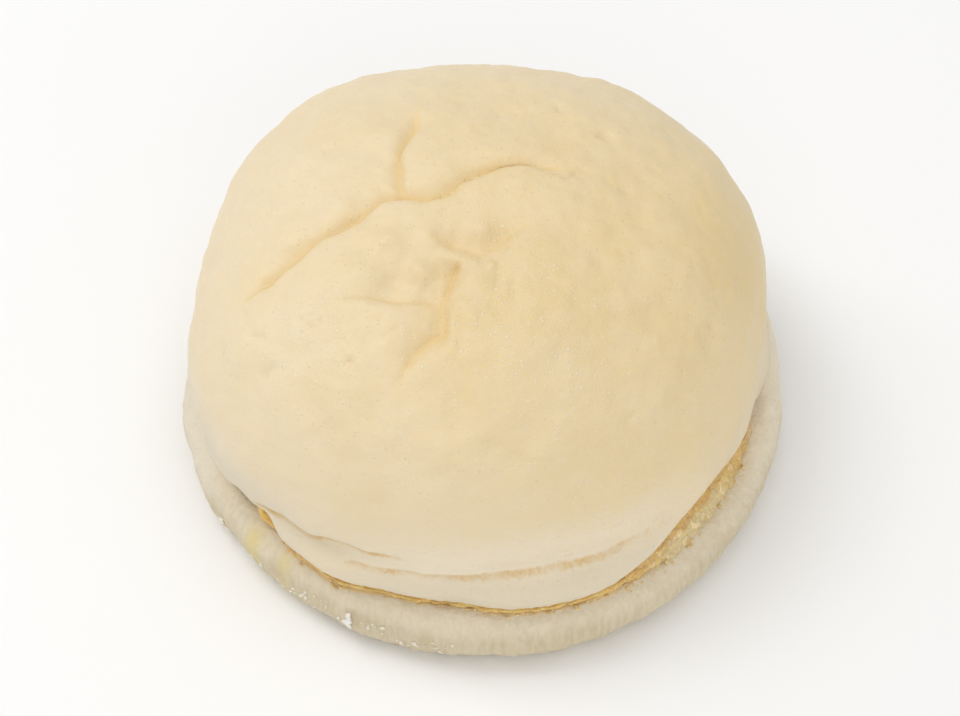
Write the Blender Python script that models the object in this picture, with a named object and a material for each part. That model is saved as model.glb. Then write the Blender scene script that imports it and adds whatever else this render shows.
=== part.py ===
"""A white custard bun, as baked, slit at the side and filled.

Three solids lie on each other: a thick base of soft pale bread, a layer of custard that shows in the slit,
and a domed top whose crown is creased and whose lower edge is folded at the front. The slit goes round the
front only. At the back, where the bun is uncut, the rim of the base rises to the side of the dome.

Units are metres with +Z up. The bun stands on z = 0, centred on the Z axis, and its folded front faces -Y.
Angles are measured from +X, anticlockwise from above, so the front is at -90 degrees.
"""

import math
from typing import NamedTuple

import bmesh
import bpy
import numpy as np

MM = 0.001

# Driving sizes
BASE_RADIUS = 47.6 * MM
BASE_HEIGHT = 11.6 * MM
DOME_RADIUS = 44.4 * MM
BUN_HEIGHT = 54.0 * MM
CUSTARD_HEIGHT = 4.0 * MM
PIECE_GAP = 0.3 * MM

# Base: how its side rounds over, how far its rim is torn down where the slit gapes, and how far it rises
# to the dome where the bun is uncut
BASE_WIDEST_HEIGHT = 6.4 * MM
BASE_FOOT_INSET = 4.6 * MM
BASE_LIP_INSET = 3.8 * MM
TORN_RIM_DROP = 1.1 * MM
TORN_RIM_WIDTH = 12 * MM
UNCUT_RIM_RISE = 3.2 * MM
UNCUT_RIM_WIDTH = 7.0 * MM

# Domed top: its swelling, its lower edge, the skirt it runs out into, and the heights where creases begin
DOME_WIDEST_HEIGHT = 20.5 * MM
DOME_SQUARENESS = 2.45
DOME_TUCK = 2.4 * MM
LIP_ROUND = 1.2 * MM
RIM_WIDTH = 7 * MM
SKIRT_WIDTH = 4.9 * MM
SKIRT_POWER = 1.5
UNCREASED_HEIGHT = 12 * MM
WALL_FOLD_FOOT = 14.5 * MM

# Custard: its thickness along the rim, and how far its edge stays inside the lip of the top or oozes past it.
# Where the bun is uncut it stays further inside
CUSTARD_SLIT_HEIGHT = 0.7 * MM
CUSTARD_BULGE_HEIGHT = 2.6 * MM
CUSTARD_BLOB_HEIGHT = 1.8 * MM
CUSTARD_RECESS = 4.0 * MM
CUSTARD_UNCUT_RECESS = 5.0 * MM
CUSTARD_SHOWN_IN_SLIT = 0.88
CUSTARD_OOZE = 1.8 * MM
CUSTARD_RIM_WIDTH = 24 * MM
SEAM_MARGIN = 0.9 * MM

# Mesh fineness: steps round the axis, steps along each run of a profile, and the triangles that the dense
# top is thinned to
TOP_SEGMENTS = 300
BASE_SEGMENTS = 96
CUSTARD_SEGMENTS = 96
ROUND_STEPS = 5
FACE_STEPS = 8
EDGE_STEPS = 4
RIM_STEPS = 12
SIDE_STEPS = 20
CROWN_STEPS = 90
TOP_TRIANGLES = 7800


class Wave(NamedTuple):
    """One unevenness of an outline: how often it repeats in a turn, its share of the radius, its crest."""

    count: int
    share: float
    crest: float


class Stretch(NamedTuple):
    """A stretch of the rim in degrees: its middle, its reach to each side, and how much of it is a ramp."""

    middle: float
    reach: float
    ramp: float


class Crease(NamedTuple):
    """A crease of the crown, all in mm: a line of points seen from above, and its depth.

    The walls are the widths of the slopes to the left and right of the line, and the fades are the lengths
    over which the crease gets its depth at its start and loses it at its end.
    """

    points: tuple[tuple[float, float], ...]
    depth: float
    left_wall: float
    right_wall: float
    start_fade: float
    end_fade: float


BASE_WAVES = (Wave(2, 0.006, -65), Wave(3, 0.003, -50), Wave(4, 0.0052, 7.5))
DOME_WAVES = (Wave(1, 0.029, 151), Wave(2, 0.0255, 24), Wave(3, 0.0125, 9.7), Wave(4, 0.0188, 38.4))

# The left side of the bun is flatter than these waves make it
DOME_FLATTENED = (Stretch(174, 24, 20), 0.6 * MM)
BASE_FLATTENED = (Stretch(171, 22, 18), 0.8 * MM)

SLIT_FRONT = Stretch(-77, 69, 14)
SLIT_OPEN_RIGHT = Stretch(-38, 34, 26)
SLIT_OPEN_LEFT = Stretch(-139, 12, 10)
SKIRT = Stretch(-84, 54, 40)
STRAIGHT_SIDE = Stretch(-8, 48, 34)
UNCUT_BACK = Stretch(88, 100, 24)

# How far the top's lower edge swells out or is pinched in along stretches of the rim
LIP_SWELLINGS = (
    (Stretch(-97, 51, 14), 0.95 * MM),
    (Stretch(-102.5, 19, 15), -2.0 * MM),
    (Stretch(-74, 14, 12), 0.35 * MM),
    (Stretch(-36, 24, 9), 0.35 * MM),
    (Stretch(-138.5, 9, 5), -1.3 * MM),
)

LONG_CREASE = Crease(
    (
        (-36.7, -13.4),
        (-31.4, -9.3),
        (-25.6, -5.4),
        (-18.3, -1.8),
        (-14.6, 1.4),
        (-8.3, 0.8),
        (-3.3, 3.7),
        (2.6, 6.3),
        (10.6, 6.1),
        (14.0, 5.1),
    ),
    depth=1.8,
    left_wall=1.9,
    right_wall=1.1,
    start_fade=5,
    end_fade=9,
)
UPRIGHT_CREASE = Crease(
    ((-12.0, 0.3), (-12.6, 4.0), (-12.4, 10.2), (-10.5, 15.2), (-9.6, 20.0)),
    depth=1.7,
    left_wall=1.4,
    right_wall=1.1,
    start_fade=1,
    end_fade=7,
)
SHELF_CREASE = Crease(
    ((-22.5, -15.7), (-14.4, -16.7), (-9.1, -17.2), (-6.3, -17.4)),
    depth=1.4,
    left_wall=3.6,
    right_wall=1.1,
    start_fade=8,
    end_fade=1,
)
DIMPLE_WALL = Crease(
    ((-3.5, -9.8), (-5.0, -14.6), (-6.3, -17.8), (-6.3, -22.6), (-10.0, -25.0), (-11.9, -27.9), (-12.0, -31.0)),
    depth=1.6,
    left_wall=1.1,
    right_wall=4.0,
    start_fade=3,
    end_fade=8,
)
NOTCH = Crease(
    ((-9.0, -6.7), (-3.3, -9.2), (-0.4, -10.4), (2.5, -8.1), (7.8, -6.0)),
    depth=1.3,
    left_wall=3.0,
    right_wall=1.4,
    start_fade=5,
    end_fade=7,
)
CREASES = (LONG_CREASE, UPRIGHT_CREASE, SHELF_CREASE, DIMPLE_WALL, NOTCH)
# These two lie on the dome's wall: their points are a distance round the dome from +X, and a height
UPPER_FOLD = Crease(
    (
        (-107.5, 19.2),
        (-104.2, 20.3),
        (-101.3, 21.1),
        (-95.6, 20.7),
        (-90.2, 22.3),
        (-87.2, 21.6),
        (-79.0, 21.5),
    ),
    depth=1.0,
    left_wall=0.8,
    right_wall=1.7,
    start_fade=2,
    end_fade=9,
)
LOWER_FOLD = Crease(
    ((-90.9, 18.0), (-89.5, 18.9), (-84.7, 18.6), (-78.6, 19.0), (-58.9, 19.3), (-46.8, 19.5), (-33.0, 19.0)),
    depth=0.8,
    left_wall=0.8,
    right_wall=1.1,
    start_fade=1.5,
    end_fade=20,
)
WALL_FOLDS = (UPPER_FOLD, LOWER_FOLD)
CREASE_ROUND = 0.8
LESSER_CREASE_SHARE = 0.3

DIMPLE_CENTRE = (-7.0 * MM, -12.0 * MM)
DIMPLE_RADIUS = 9.0 * MM
DIMPLE_DEPTH = 1.8 * MM


def eased(share):
    """Goes from 0 to 1 with a level start and end, as share does."""
    share = np.clip(share, 0, 1)
    return share * share * (3 - 2 * share)


def within(angle, stretch):
    """1 inside a stretch of the rim and 0 outside it, with a ramp at each of its ends."""
    away = np.abs((np.degrees(angle) - stretch.middle + 180) % 360 - 180)
    return eased((stretch.reach - away) / stretch.ramp)


def rounded_pit(away, width):
    """A rounded hollow: 1 in its middle, and nearly 0 at twice its width."""
    return np.exp(-((away / width) ** 2))


def outline(angle, radius, waves):
    """The radius of an uneven round outline in one direction."""
    unevenness = sum(w.share * np.cos(w.count * (angle - math.radians(w.crest))) for w in waves)
    return radius * (1 + unevenness)


def dome_radius(angle):
    """Radius of the dome at its widest."""
    stretch, amount = DOME_FLATTENED
    return outline(angle, DOME_RADIUS, DOME_WAVES) - amount * within(angle, stretch)


def base_radius(angle):
    """Radius of the base at its widest."""
    stretch, amount = BASE_FLATTENED
    return outline(angle, BASE_RADIUS, BASE_WAVES) - amount * within(angle, stretch)


def base_top(radius, angle):
    """Height of the base's upper face, with its rim torn down where the slit gapes and raised where uncut."""
    inside_rim = BASE_RADIUS - BASE_LIP_INSET - radius
    torn = within(angle, SLIT_OPEN_RIGHT) * eased(1 - inside_rim / TORN_RIM_WIDTH)
    uncut = within(angle, UNCUT_BACK) * eased(1 - inside_rim / UNCUT_RIM_WIDTH)
    return BASE_HEIGHT - TORN_RIM_DROP * torn + UNCUT_RIM_RISE * uncut


def side_tuck(angle):
    """How far the top's lower edge is tucked in. At one side and the back the wall hangs straight."""
    return DOME_TUCK * (1 - np.maximum(within(angle, STRAIGHT_SIDE), within(angle, UNCUT_BACK)))


def skirt_out(angle):
    """How far the top's lower edge is pushed out as a skirt, which is uneven along the front."""
    swollen = sum(amount * within(angle, stretch) for stretch, amount in LIP_SWELLINGS)
    return SKIRT_WIDTH * within(angle, SKIRT) + swollen


def lip_radius(angle):
    """Radius of the top's lower edge."""
    return dome_radius(angle) - side_tuck(angle) + skirt_out(angle)


def custard_radius(angle):
    """Radius of the custard's edge, which comes out to the lip only where the slit is open."""
    oozing = within(angle, SLIT_OPEN_RIGHT)
    slit = CUSTARD_SHOWN_IN_SLIT * within(angle, SLIT_FRONT)
    shown = np.maximum(slit, np.maximum(oozing, within(angle, SLIT_OPEN_LEFT)))
    recess = CUSTARD_RECESS * (1 - shown) + CUSTARD_UNCUT_RECESS * within(angle, UNCUT_BACK)
    return lip_radius(angle) - recess + CUSTARD_OOZE * oozing


def custard_height(radius, angle):
    """Thickness of the custard: full in the middle, thin at the rim, and swollen where the slit gapes."""
    at_rim = (
        CUSTARD_SLIT_HEIGHT
        + CUSTARD_BULGE_HEIGHT * within(angle, SLIT_OPEN_RIGHT)
        + CUSTARD_BLOB_HEIGHT * within(angle, SLIT_OPEN_LEFT)
    )
    rim_share = eased(1 - (custard_radius(angle) - radius) / CUSTARD_RIM_WIDTH)
    return CUSTARD_HEIGHT + (at_rim - CUSTARD_HEIGHT) * rim_share


def underside(radius, angle):
    """Height of the top's lower face, which lies on the custard and closes onto the base beyond it."""
    over_custard = base_top(radius, angle) + custard_height(radius, angle) + 2 * PIECE_GAP
    over_base = base_top(radius, angle) + PIECE_GAP
    slit_open = np.maximum(within(angle, SLIT_FRONT), within(angle, SLIT_OPEN_LEFT))
    past_custard = eased((radius - custard_radius(angle) - SEAM_MARGIN) / LIP_ROUND)
    return over_custard + (over_base - over_custard) * past_custard * (1 - slit_open)


def top_side(share, angle):
    """Radius and height of the top's side, from its lip at share 0 to the dome's widest ring at share 1."""
    lip_height = underside(lip_radius(angle) - LIP_ROUND, angle) + LIP_ROUND
    height = lip_height + (DOME_WIDEST_HEIGHT - lip_height) * share
    radius = dome_radius(angle) - side_tuck(angle) * (1 - share) ** 2
    return radius + skirt_out(angle) * (1 - share**2) ** SKIRT_POWER, height


def crown_point(turn, angle):
    """Radius and height of the crown, from the dome's widest ring at turn 0 to its pole at a quarter turn."""
    power = 2 / DOME_SQUARENESS
    radius = dome_radius(angle) * np.cos(turn).clip(0) ** power
    return radius, DOME_WIDEST_HEIGHT + (BUN_HEIGHT - DOME_WIDEST_HEIGHT) * np.sin(turn) ** power


def crease_depth(plan, crease):
    """How deep a crease is at points of its plane, all in mm. It is a V that fades at both ends."""
    line = np.array(crease.points)
    ahead = np.diff(line, axis=0)
    lengths = np.linalg.norm(ahead, axis=1)
    from_starts = plan[:, None, :] - line[:-1]
    along = ((from_starts * ahead).sum(axis=2) / lengths**2).clip(0, 1)
    offsets = from_starts - along[:, :, None] * ahead
    distances = np.linalg.norm(offsets, axis=2)
    nearest = distances.argmin(axis=1)
    rows = np.arange(len(plan))
    offset = offsets[rows, nearest]
    on_left = ahead[nearest, 0] * offset[:, 1] - ahead[nearest, 1] * offset[:, 0] > 0
    wall = np.where(on_left, crease.left_wall, crease.right_wall)
    away = np.hypot(distances[rows, nearest], CREASE_ROUND) - CREASE_ROUND
    passed = np.cumsum(lengths)[nearest] - (1 - along[rows, nearest]) * lengths[nearest]
    left = lengths.sum() - passed
    fade = eased(passed / crease.start_fade) * eased(left / crease.end_fade)
    return crease.depth * fade * np.exp(-away / wall)


def crown_hollow(plan):
    """How far the crown is sunk at points seen from above, by its dimple and the deepest crease there."""
    dimple = DIMPLE_DEPTH * rounded_pit(np.linalg.norm(plan - np.array(DIMPLE_CENTRE), axis=1), DIMPLE_RADIUS)
    depths = np.array([crease_depth(plan / MM, crease) for crease in CREASES]) * MM
    deepest = depths.max(axis=0)
    return dimple + deepest + LESSER_CREASE_SHARE * (depths.sum(axis=0) - deepest)


def wall_hollow(points):
    """How far the folds on the wall sink the points of the top, which are in metres."""
    round_the_dome = np.arctan2(points[:, 1], points[:, 0]) * DOME_RADIUS
    unrolled = np.column_stack([round_the_dome, points[:, 2]]) / MM
    return np.maximum(*(crease_depth(unrolled, fold) for fold in WALL_FOLDS)) * MM


def with_creases(points):
    """The top's points, sunk by its creases: along the dome's normal on the crown, and level on the wall."""
    reach = dome_radius(np.arctan2(points[:, 1], points[:, 0]))[:, None]
    spread = points[:, :2] / reach
    outwards = spread / np.linalg.norm(spread, axis=1, keepdims=True).clip(1e-9)
    rise = (points[:, 2:] - DOME_WIDEST_HEIGHT).clip(0) / (BUN_HEIGHT - DOME_WIDEST_HEIGHT)
    steepness = np.linalg.norm(spread, axis=1, keepdims=True) ** (DOME_SQUARENESS - 1)
    normal = np.column_stack([outwards * steepness / reach, rise ** (DOME_SQUARENESS - 1) / BUN_HEIGHT])
    normal /= np.linalg.norm(normal, axis=1, keepdims=True).clip(1e-9)
    on_crown = eased((points[:, 2] - DOME_WIDEST_HEIGHT) / UNCREASED_HEIGHT)
    sunk = points - normal * (crown_hollow(points[:, :2]) * on_crown)[:, None]
    on_wall = points[:, 2] > WALL_FOLD_FOOT
    sunk[:, :2] -= outwards * (wall_hollow(points) * on_wall)[:, None]
    return sunk


def spun(name, rows, segments):
    """A closed round body, spun from a unit guide with one point for each row of the profile.

    Its two end points lie on the Z axis. Every vertex carries the number of its row in z.
    """
    form = bmesh.new()
    guide = [form.verts.new((0 if row in (0, rows - 1) else 1, 0, row)) for row in range(rows)]
    edges = [form.edges.new(pair) for pair in zip(guide, guide[1:])]
    bmesh.ops.spin(
        form,
        geom=guide + edges,
        cent=(0, 0, 0),
        axis=(0, 0, 1),
        angle=math.tau,
        steps=segments,
        use_merge=True,
    )
    bmesh.ops.remove_doubles(form, verts=form.verts, dist=1e-5)
    mesh = bpy.data.meshes.new(name)
    form.to_mesh(mesh)
    form.free()
    obj = bpy.data.objects.new(name, mesh)
    bpy.context.scene.collection.objects.link(obj)
    return obj


def turned(name, segments, runs, material, finish=None):
    """A round body whose profile is made of runs, each a number of steps and a rule for its points.

    A rule takes the share of the way along its run and the angle, and gives the radius and the height.
    """
    obj = spun(name, sum(steps for steps, _ in runs) + 1, segments)
    guide = np.array([vertex.co for vertex in obj.data.vertices])
    angle = np.arctan2(guide[:, 1], guide[:, 0])
    row = np.rint(guide[:, 2]).astype(int)
    radius = np.zeros(len(guide))
    height = np.zeros(len(guide))
    first = 0
    for steps, rule in runs:
        here = (row >= first) & (row <= first + steps)
        radius[here], height[here] = rule((row[here] - first) / steps, angle[here])
        first += steps
    points = np.column_stack([radius * np.cos(angle), radius * np.sin(angle), height])
    if finish:
        points = finish(points)
    obj.data.vertices.foreach_set("co", points.ravel())
    face_outwards(obj.data)
    obj.data.materials.append(material)
    obj.data.shade_smooth()
    return obj


def face_outwards(mesh):
    """Turns every face of a closed mesh outwards."""
    form = bmesh.new()
    form.from_mesh(mesh)
    bmesh.ops.recalc_face_normals(form, faces=form.faces)
    form.to_mesh(mesh)
    form.free()


def food_material(name, colour, roughness):
    """A plain Principled material for one kind of food."""
    material = bpy.data.materials.new(name)
    material.use_nodes = True
    shader = material.node_tree.nodes["Principled BSDF"]
    shader.inputs["Base Color"].default_value = (*colour, 1)
    shader.inputs["Roughness"].default_value = roughness
    shader.inputs["Metallic"].default_value = 0
    return material


def make_base(material):
    """The base: a flat foot, a full rounded side and a level top with a soft lip."""

    def foot(share, angle):
        return (base_radius(angle) - BASE_FOOT_INSET) * share, 0 * share

    def side(share, angle):
        turn = math.pi / 2 * share
        radius = base_radius(angle) - BASE_FOOT_INSET * (1 - np.sin(turn))
        return radius, BASE_WIDEST_HEIGHT * (1 - np.cos(turn))

    def lip(share, angle):
        turn = math.pi / 2 * share
        rise = base_top(base_radius(angle) - BASE_LIP_INSET, angle) - BASE_WIDEST_HEIGHT
        radius = base_radius(angle) - BASE_LIP_INSET * (1 - np.cos(turn))
        return radius, BASE_WIDEST_HEIGHT + rise * np.sin(turn)

    def rim(share, angle):
        radius = base_radius(angle) - BASE_LIP_INSET - RIM_WIDTH * share
        return radius, base_top(radius, angle)

    def face(share, angle):
        radius = (base_radius(angle) - BASE_LIP_INSET - RIM_WIDTH) * (1 - share)
        return radius, base_top(radius, angle)

    runs = ((1, foot), (ROUND_STEPS, side), (ROUND_STEPS, lip), (FACE_STEPS, rim), (EDGE_STEPS, face))
    return turned("bun_base", BASE_SEGMENTS, runs, material)


def make_custard(material):
    """The custard: a layer right through the bun, with a rounded edge that shows in the slit."""

    def flat_radius(angle):
        return custard_radius(angle) - custard_height(custard_radius(angle), angle) / 2

    def lower_face(share, angle):
        radius = flat_radius(angle) * share
        return radius, base_top(radius, angle) + PIECE_GAP

    def edge(share, angle):
        flat = flat_radius(angle)
        half_height = custard_height(flat, angle) / 2
        turn = math.pi * share
        floor = base_top(flat, angle) + PIECE_GAP
        return flat + half_height * np.sin(turn), floor + half_height * (1 - np.cos(turn))

    def upper_face(share, angle):
        radius = flat_radius(angle) * (1 - share)
        return radius, base_top(radius, angle) + PIECE_GAP + custard_height(radius, angle)

    runs = ((FACE_STEPS, lower_face), (EDGE_STEPS, edge), (FACE_STEPS, upper_face))
    return turned("custard_filling", CUSTARD_SEGMENTS, runs, material)


def make_top(material):
    """The top: a dome with a broad creased crown, tucked in below and folded into a skirt at the front."""

    def inner_face(share, angle):
        radius = (lip_radius(angle) - LIP_ROUND - RIM_WIDTH) * share
        return radius, underside(radius, angle)

    def rim_face(share, angle):
        radius = lip_radius(angle) - LIP_ROUND - RIM_WIDTH * (1 - share)
        return radius, underside(radius, angle)

    def lip(share, angle):
        turn = math.pi / 2 * share
        flat = lip_radius(angle) - LIP_ROUND
        return flat + LIP_ROUND * np.sin(turn), underside(flat, angle) + LIP_ROUND * (1 - np.cos(turn))

    def crown(share, angle):
        return crown_point(math.pi / 2 * share, angle)

    runs = (
        (FACE_STEPS, inner_face),
        (RIM_STEPS, rim_face),
        (EDGE_STEPS, lip),
        (SIDE_STEPS, top_side),
        (CROWN_STEPS, crown),
    )
    obj = turned("bun_top", TOP_SEGMENTS, runs, material, with_creases)
    thin_out(obj, TOP_TRIANGLES)
    return obj


def thin_out(obj, triangles):
    """Collapses the flatter faces, so that the triangles go where the creases and folds are."""
    dense_triangles = sum(len(face.vertices) - 2 for face in obj.data.polygons)
    thinning = obj.modifiers.new("thinning", "DECIMATE")
    thinning.ratio = triangles / dense_triangles
    thinning.use_collapse_triangulate = True


def main():
    """Clears the scene and makes the three solids."""
    for obj in list(bpy.data.objects):
        bpy.data.objects.remove(obj)
    make_base(food_material("pale_bread_edge", (0.74, 0.64, 0.47), 0.75))
    make_custard(food_material("custard", (0.74, 0.50, 0.17), 0.38))
    make_top(food_material("soft_white_bread", (0.80, 0.66, 0.44), 0.62))


main()
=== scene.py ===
"""A soft pale bun with custard in its slit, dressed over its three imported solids.

Each bread and custard piece starts as a grid whose rows are laid along the profile of its solid, so it
keeps the solid's form, and is then given the creases, folds, torn edges, crumbs and unevenness of real
bread. Lengths are in metres with +Z up, except where a name or a docstring says mm. Angles run
anticlockwise from +X, seen from above, so the front of the bun is at -90 degrees.
"""

from __future__ import annotations

import logging
import math
from collections.abc import Callable, Sequence
from dataclasses import dataclass, field
from enum import Enum
from typing import Any

import bpy
import numpy as np
from mathutils import Matrix, Vector

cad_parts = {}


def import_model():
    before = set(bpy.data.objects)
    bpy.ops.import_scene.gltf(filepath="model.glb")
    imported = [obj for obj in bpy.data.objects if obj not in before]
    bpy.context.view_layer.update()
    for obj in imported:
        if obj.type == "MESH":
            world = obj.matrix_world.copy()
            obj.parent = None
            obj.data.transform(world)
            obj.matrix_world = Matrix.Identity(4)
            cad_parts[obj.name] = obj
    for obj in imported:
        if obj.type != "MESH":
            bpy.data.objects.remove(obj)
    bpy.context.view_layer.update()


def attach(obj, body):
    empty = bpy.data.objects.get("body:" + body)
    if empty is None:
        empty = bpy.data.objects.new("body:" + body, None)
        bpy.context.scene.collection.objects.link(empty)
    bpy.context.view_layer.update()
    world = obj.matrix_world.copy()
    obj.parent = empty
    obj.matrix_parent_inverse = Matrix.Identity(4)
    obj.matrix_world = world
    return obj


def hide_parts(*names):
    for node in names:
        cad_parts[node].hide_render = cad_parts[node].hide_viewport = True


MM = 0.001
SEAM_WELD = 0.001 * MM
WEIGHT_STEPS = 50
BODY = "root"
LOG = logging.getLogger("custard_bun")

Ring = tuple[np.ndarray, np.ndarray]
Rule = Callable[[np.ndarray, np.ndarray], Ring]
Colour = tuple[float, float, float]


# --------------------------------------------------------------------------------------------------------
# Curves and masks that the pieces share


def eased(share: Any) -> np.ndarray:
    """Goes from 0 to 1 with a level start and end, as share does."""
    share = np.clip(share, 0, 1)
    return share * share * (3 - 2 * share)


def furrow(away: np.ndarray, width: float) -> np.ndarray:
    """A rounded furrow across its line: 1 on the line, and nearly 0 at twice its width."""
    return np.exp(-((away / width) ** 2))


@dataclass(frozen=True)
class Ramp:
    """A mask over a length, such as a height: 0 at its edge, and 1 once its own length is passed."""

    edge: float
    length: float

    def above(self, place: np.ndarray) -> np.ndarray:
        """The mask, growing as the place rises above the edge."""
        return eased((place - self.edge) / self.length)

    def below(self, place: np.ndarray) -> np.ndarray:
        """The mask, growing as the place sinks below the edge."""
        return eased((self.edge - place) / self.length)


@dataclass(frozen=True)
class Wave:
    """One wave of an outline: its repeats in a turn, its share of the radius and its crest in degrees."""

    count: int
    share: float
    crest: float


@dataclass(frozen=True)
class Stretch:
    """A stretch of the rim in degrees: its middle, its reach to each side, and how much of that is a ramp."""

    middle: float
    reach: float
    ramp: float

    def at(self, angle: np.ndarray) -> np.ndarray:
        """1 inside the stretch and 0 outside it, with a ramp at each end."""
        away = np.abs((np.degrees(angle) - self.middle + 180) % 360 - 180)
        return eased((self.reach - away) / self.ramp)


@dataclass(frozen=True)
class Swelling:
    """A change of a radius over one stretch of the rim: out where the amount is above 0, else in."""

    stretch: Stretch
    amount: float

    def at(self, angle: np.ndarray) -> np.ndarray:
        """How much the radius changes at the angles."""
        return self.amount * self.stretch.at(angle)


@dataclass(frozen=True)
class Pit:
    """A soft round hollow in the crown, all in mm: its place seen from above, its radius and its depth.

    One whose depth is below 0 is a lump. A painted patch has the same form, with its strength for a depth.
    """

    x: float
    y: float
    radius: float
    depth: float

    def depth_at(self, plan: np.ndarray) -> np.ndarray:
        """How deep the pit is at points seen from above, in mm."""
        return self.depth * furrow(np.hypot(plan[:, 0] - self.x, plan[:, 1] - self.y), self.radius)


@dataclass(frozen=True)
class Crease:
    """A crease, all in mm: a line of points on a plane, and its depth.

    On the crown the plane is seen from above. On the wall it is the wall unrolled: the distance round the
    dome from +X, and the height. The walls are the widths of the slopes to the left and right of the line,
    the fades are the lengths over which the crease gets its depth at its start and loses it at its end, the
    bottom is how round it is along its line, and stain_and_shade is how much painted shade, a darker golden
    colour, its line and its sides take on where it is on the crown.
    """

    points: tuple[tuple[float, float], ...]
    depth: float
    left_wall: float
    right_wall: float
    start_fade: float
    end_fade: float
    bottom: float = 0.15
    stain_and_shade: float = 1.0

    def trace(self, plan: np.ndarray) -> tuple[np.ndarray, np.ndarray, np.ndarray]:
        """Where points lie along the crease.

        Args:
            plan: Points on the crease's plane, in mm.

        Returns:
            The distance from the line, whether the point is to its left, and the share of the crease's depth.
        """
        line = np.array(self.points)
        ahead = np.diff(line, axis=0)
        lengths = np.linalg.norm(ahead, axis=1)
        nearest = np.zeros(len(plan), int)
        distance = np.full(len(plan), np.inf)
        along = np.zeros(len(plan))
        offset = np.zeros((len(plan), 2))
        for index, (start, step, length) in enumerate(zip(line, ahead, lengths)):
            share = ((plan - start) @ step / length**2).clip(0, 1)
            aside = plan - start - share[:, None] * step
            away = np.linalg.norm(aside, axis=1)
            closer = away < distance
            nearest[closer] = index
            distance[closer] = away[closer]
            along[closer] = share[closer]
            offset[closer] = aside[closer]
        on_left = ahead[nearest, 0] * offset[:, 1] - ahead[nearest, 1] * offset[:, 0] > 0
        passed = np.cumsum(lengths)[nearest] - (1 - along) * lengths[nearest]
        left = lengths.sum() - passed
        return distance, on_left, eased(passed / self.start_fade) * eased(left / self.end_fade)

    def depth_at(self, plan: np.ndarray) -> np.ndarray:
        """How deep the crease is at points of its plane, in mm."""
        distance, on_left, share = self.trace(plan)
        wall = np.where(on_left, self.left_wall, self.right_wall)
        return self.depth * share * np.exp(-(np.hypot(distance, self.bottom) - self.bottom) / wall)

    def line_at(self, plan: np.ndarray, width: float) -> np.ndarray:
        """How near points are to the crease's line: 1 on it, and nearly 0 at twice the width."""
        distance, _, share = self.trace(plan)
        return np.sqrt(share) * furrow(distance, width)


# --------------------------------------------------------------------------------------------------------
# The form that the solids and the dressed pieces have in common


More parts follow.
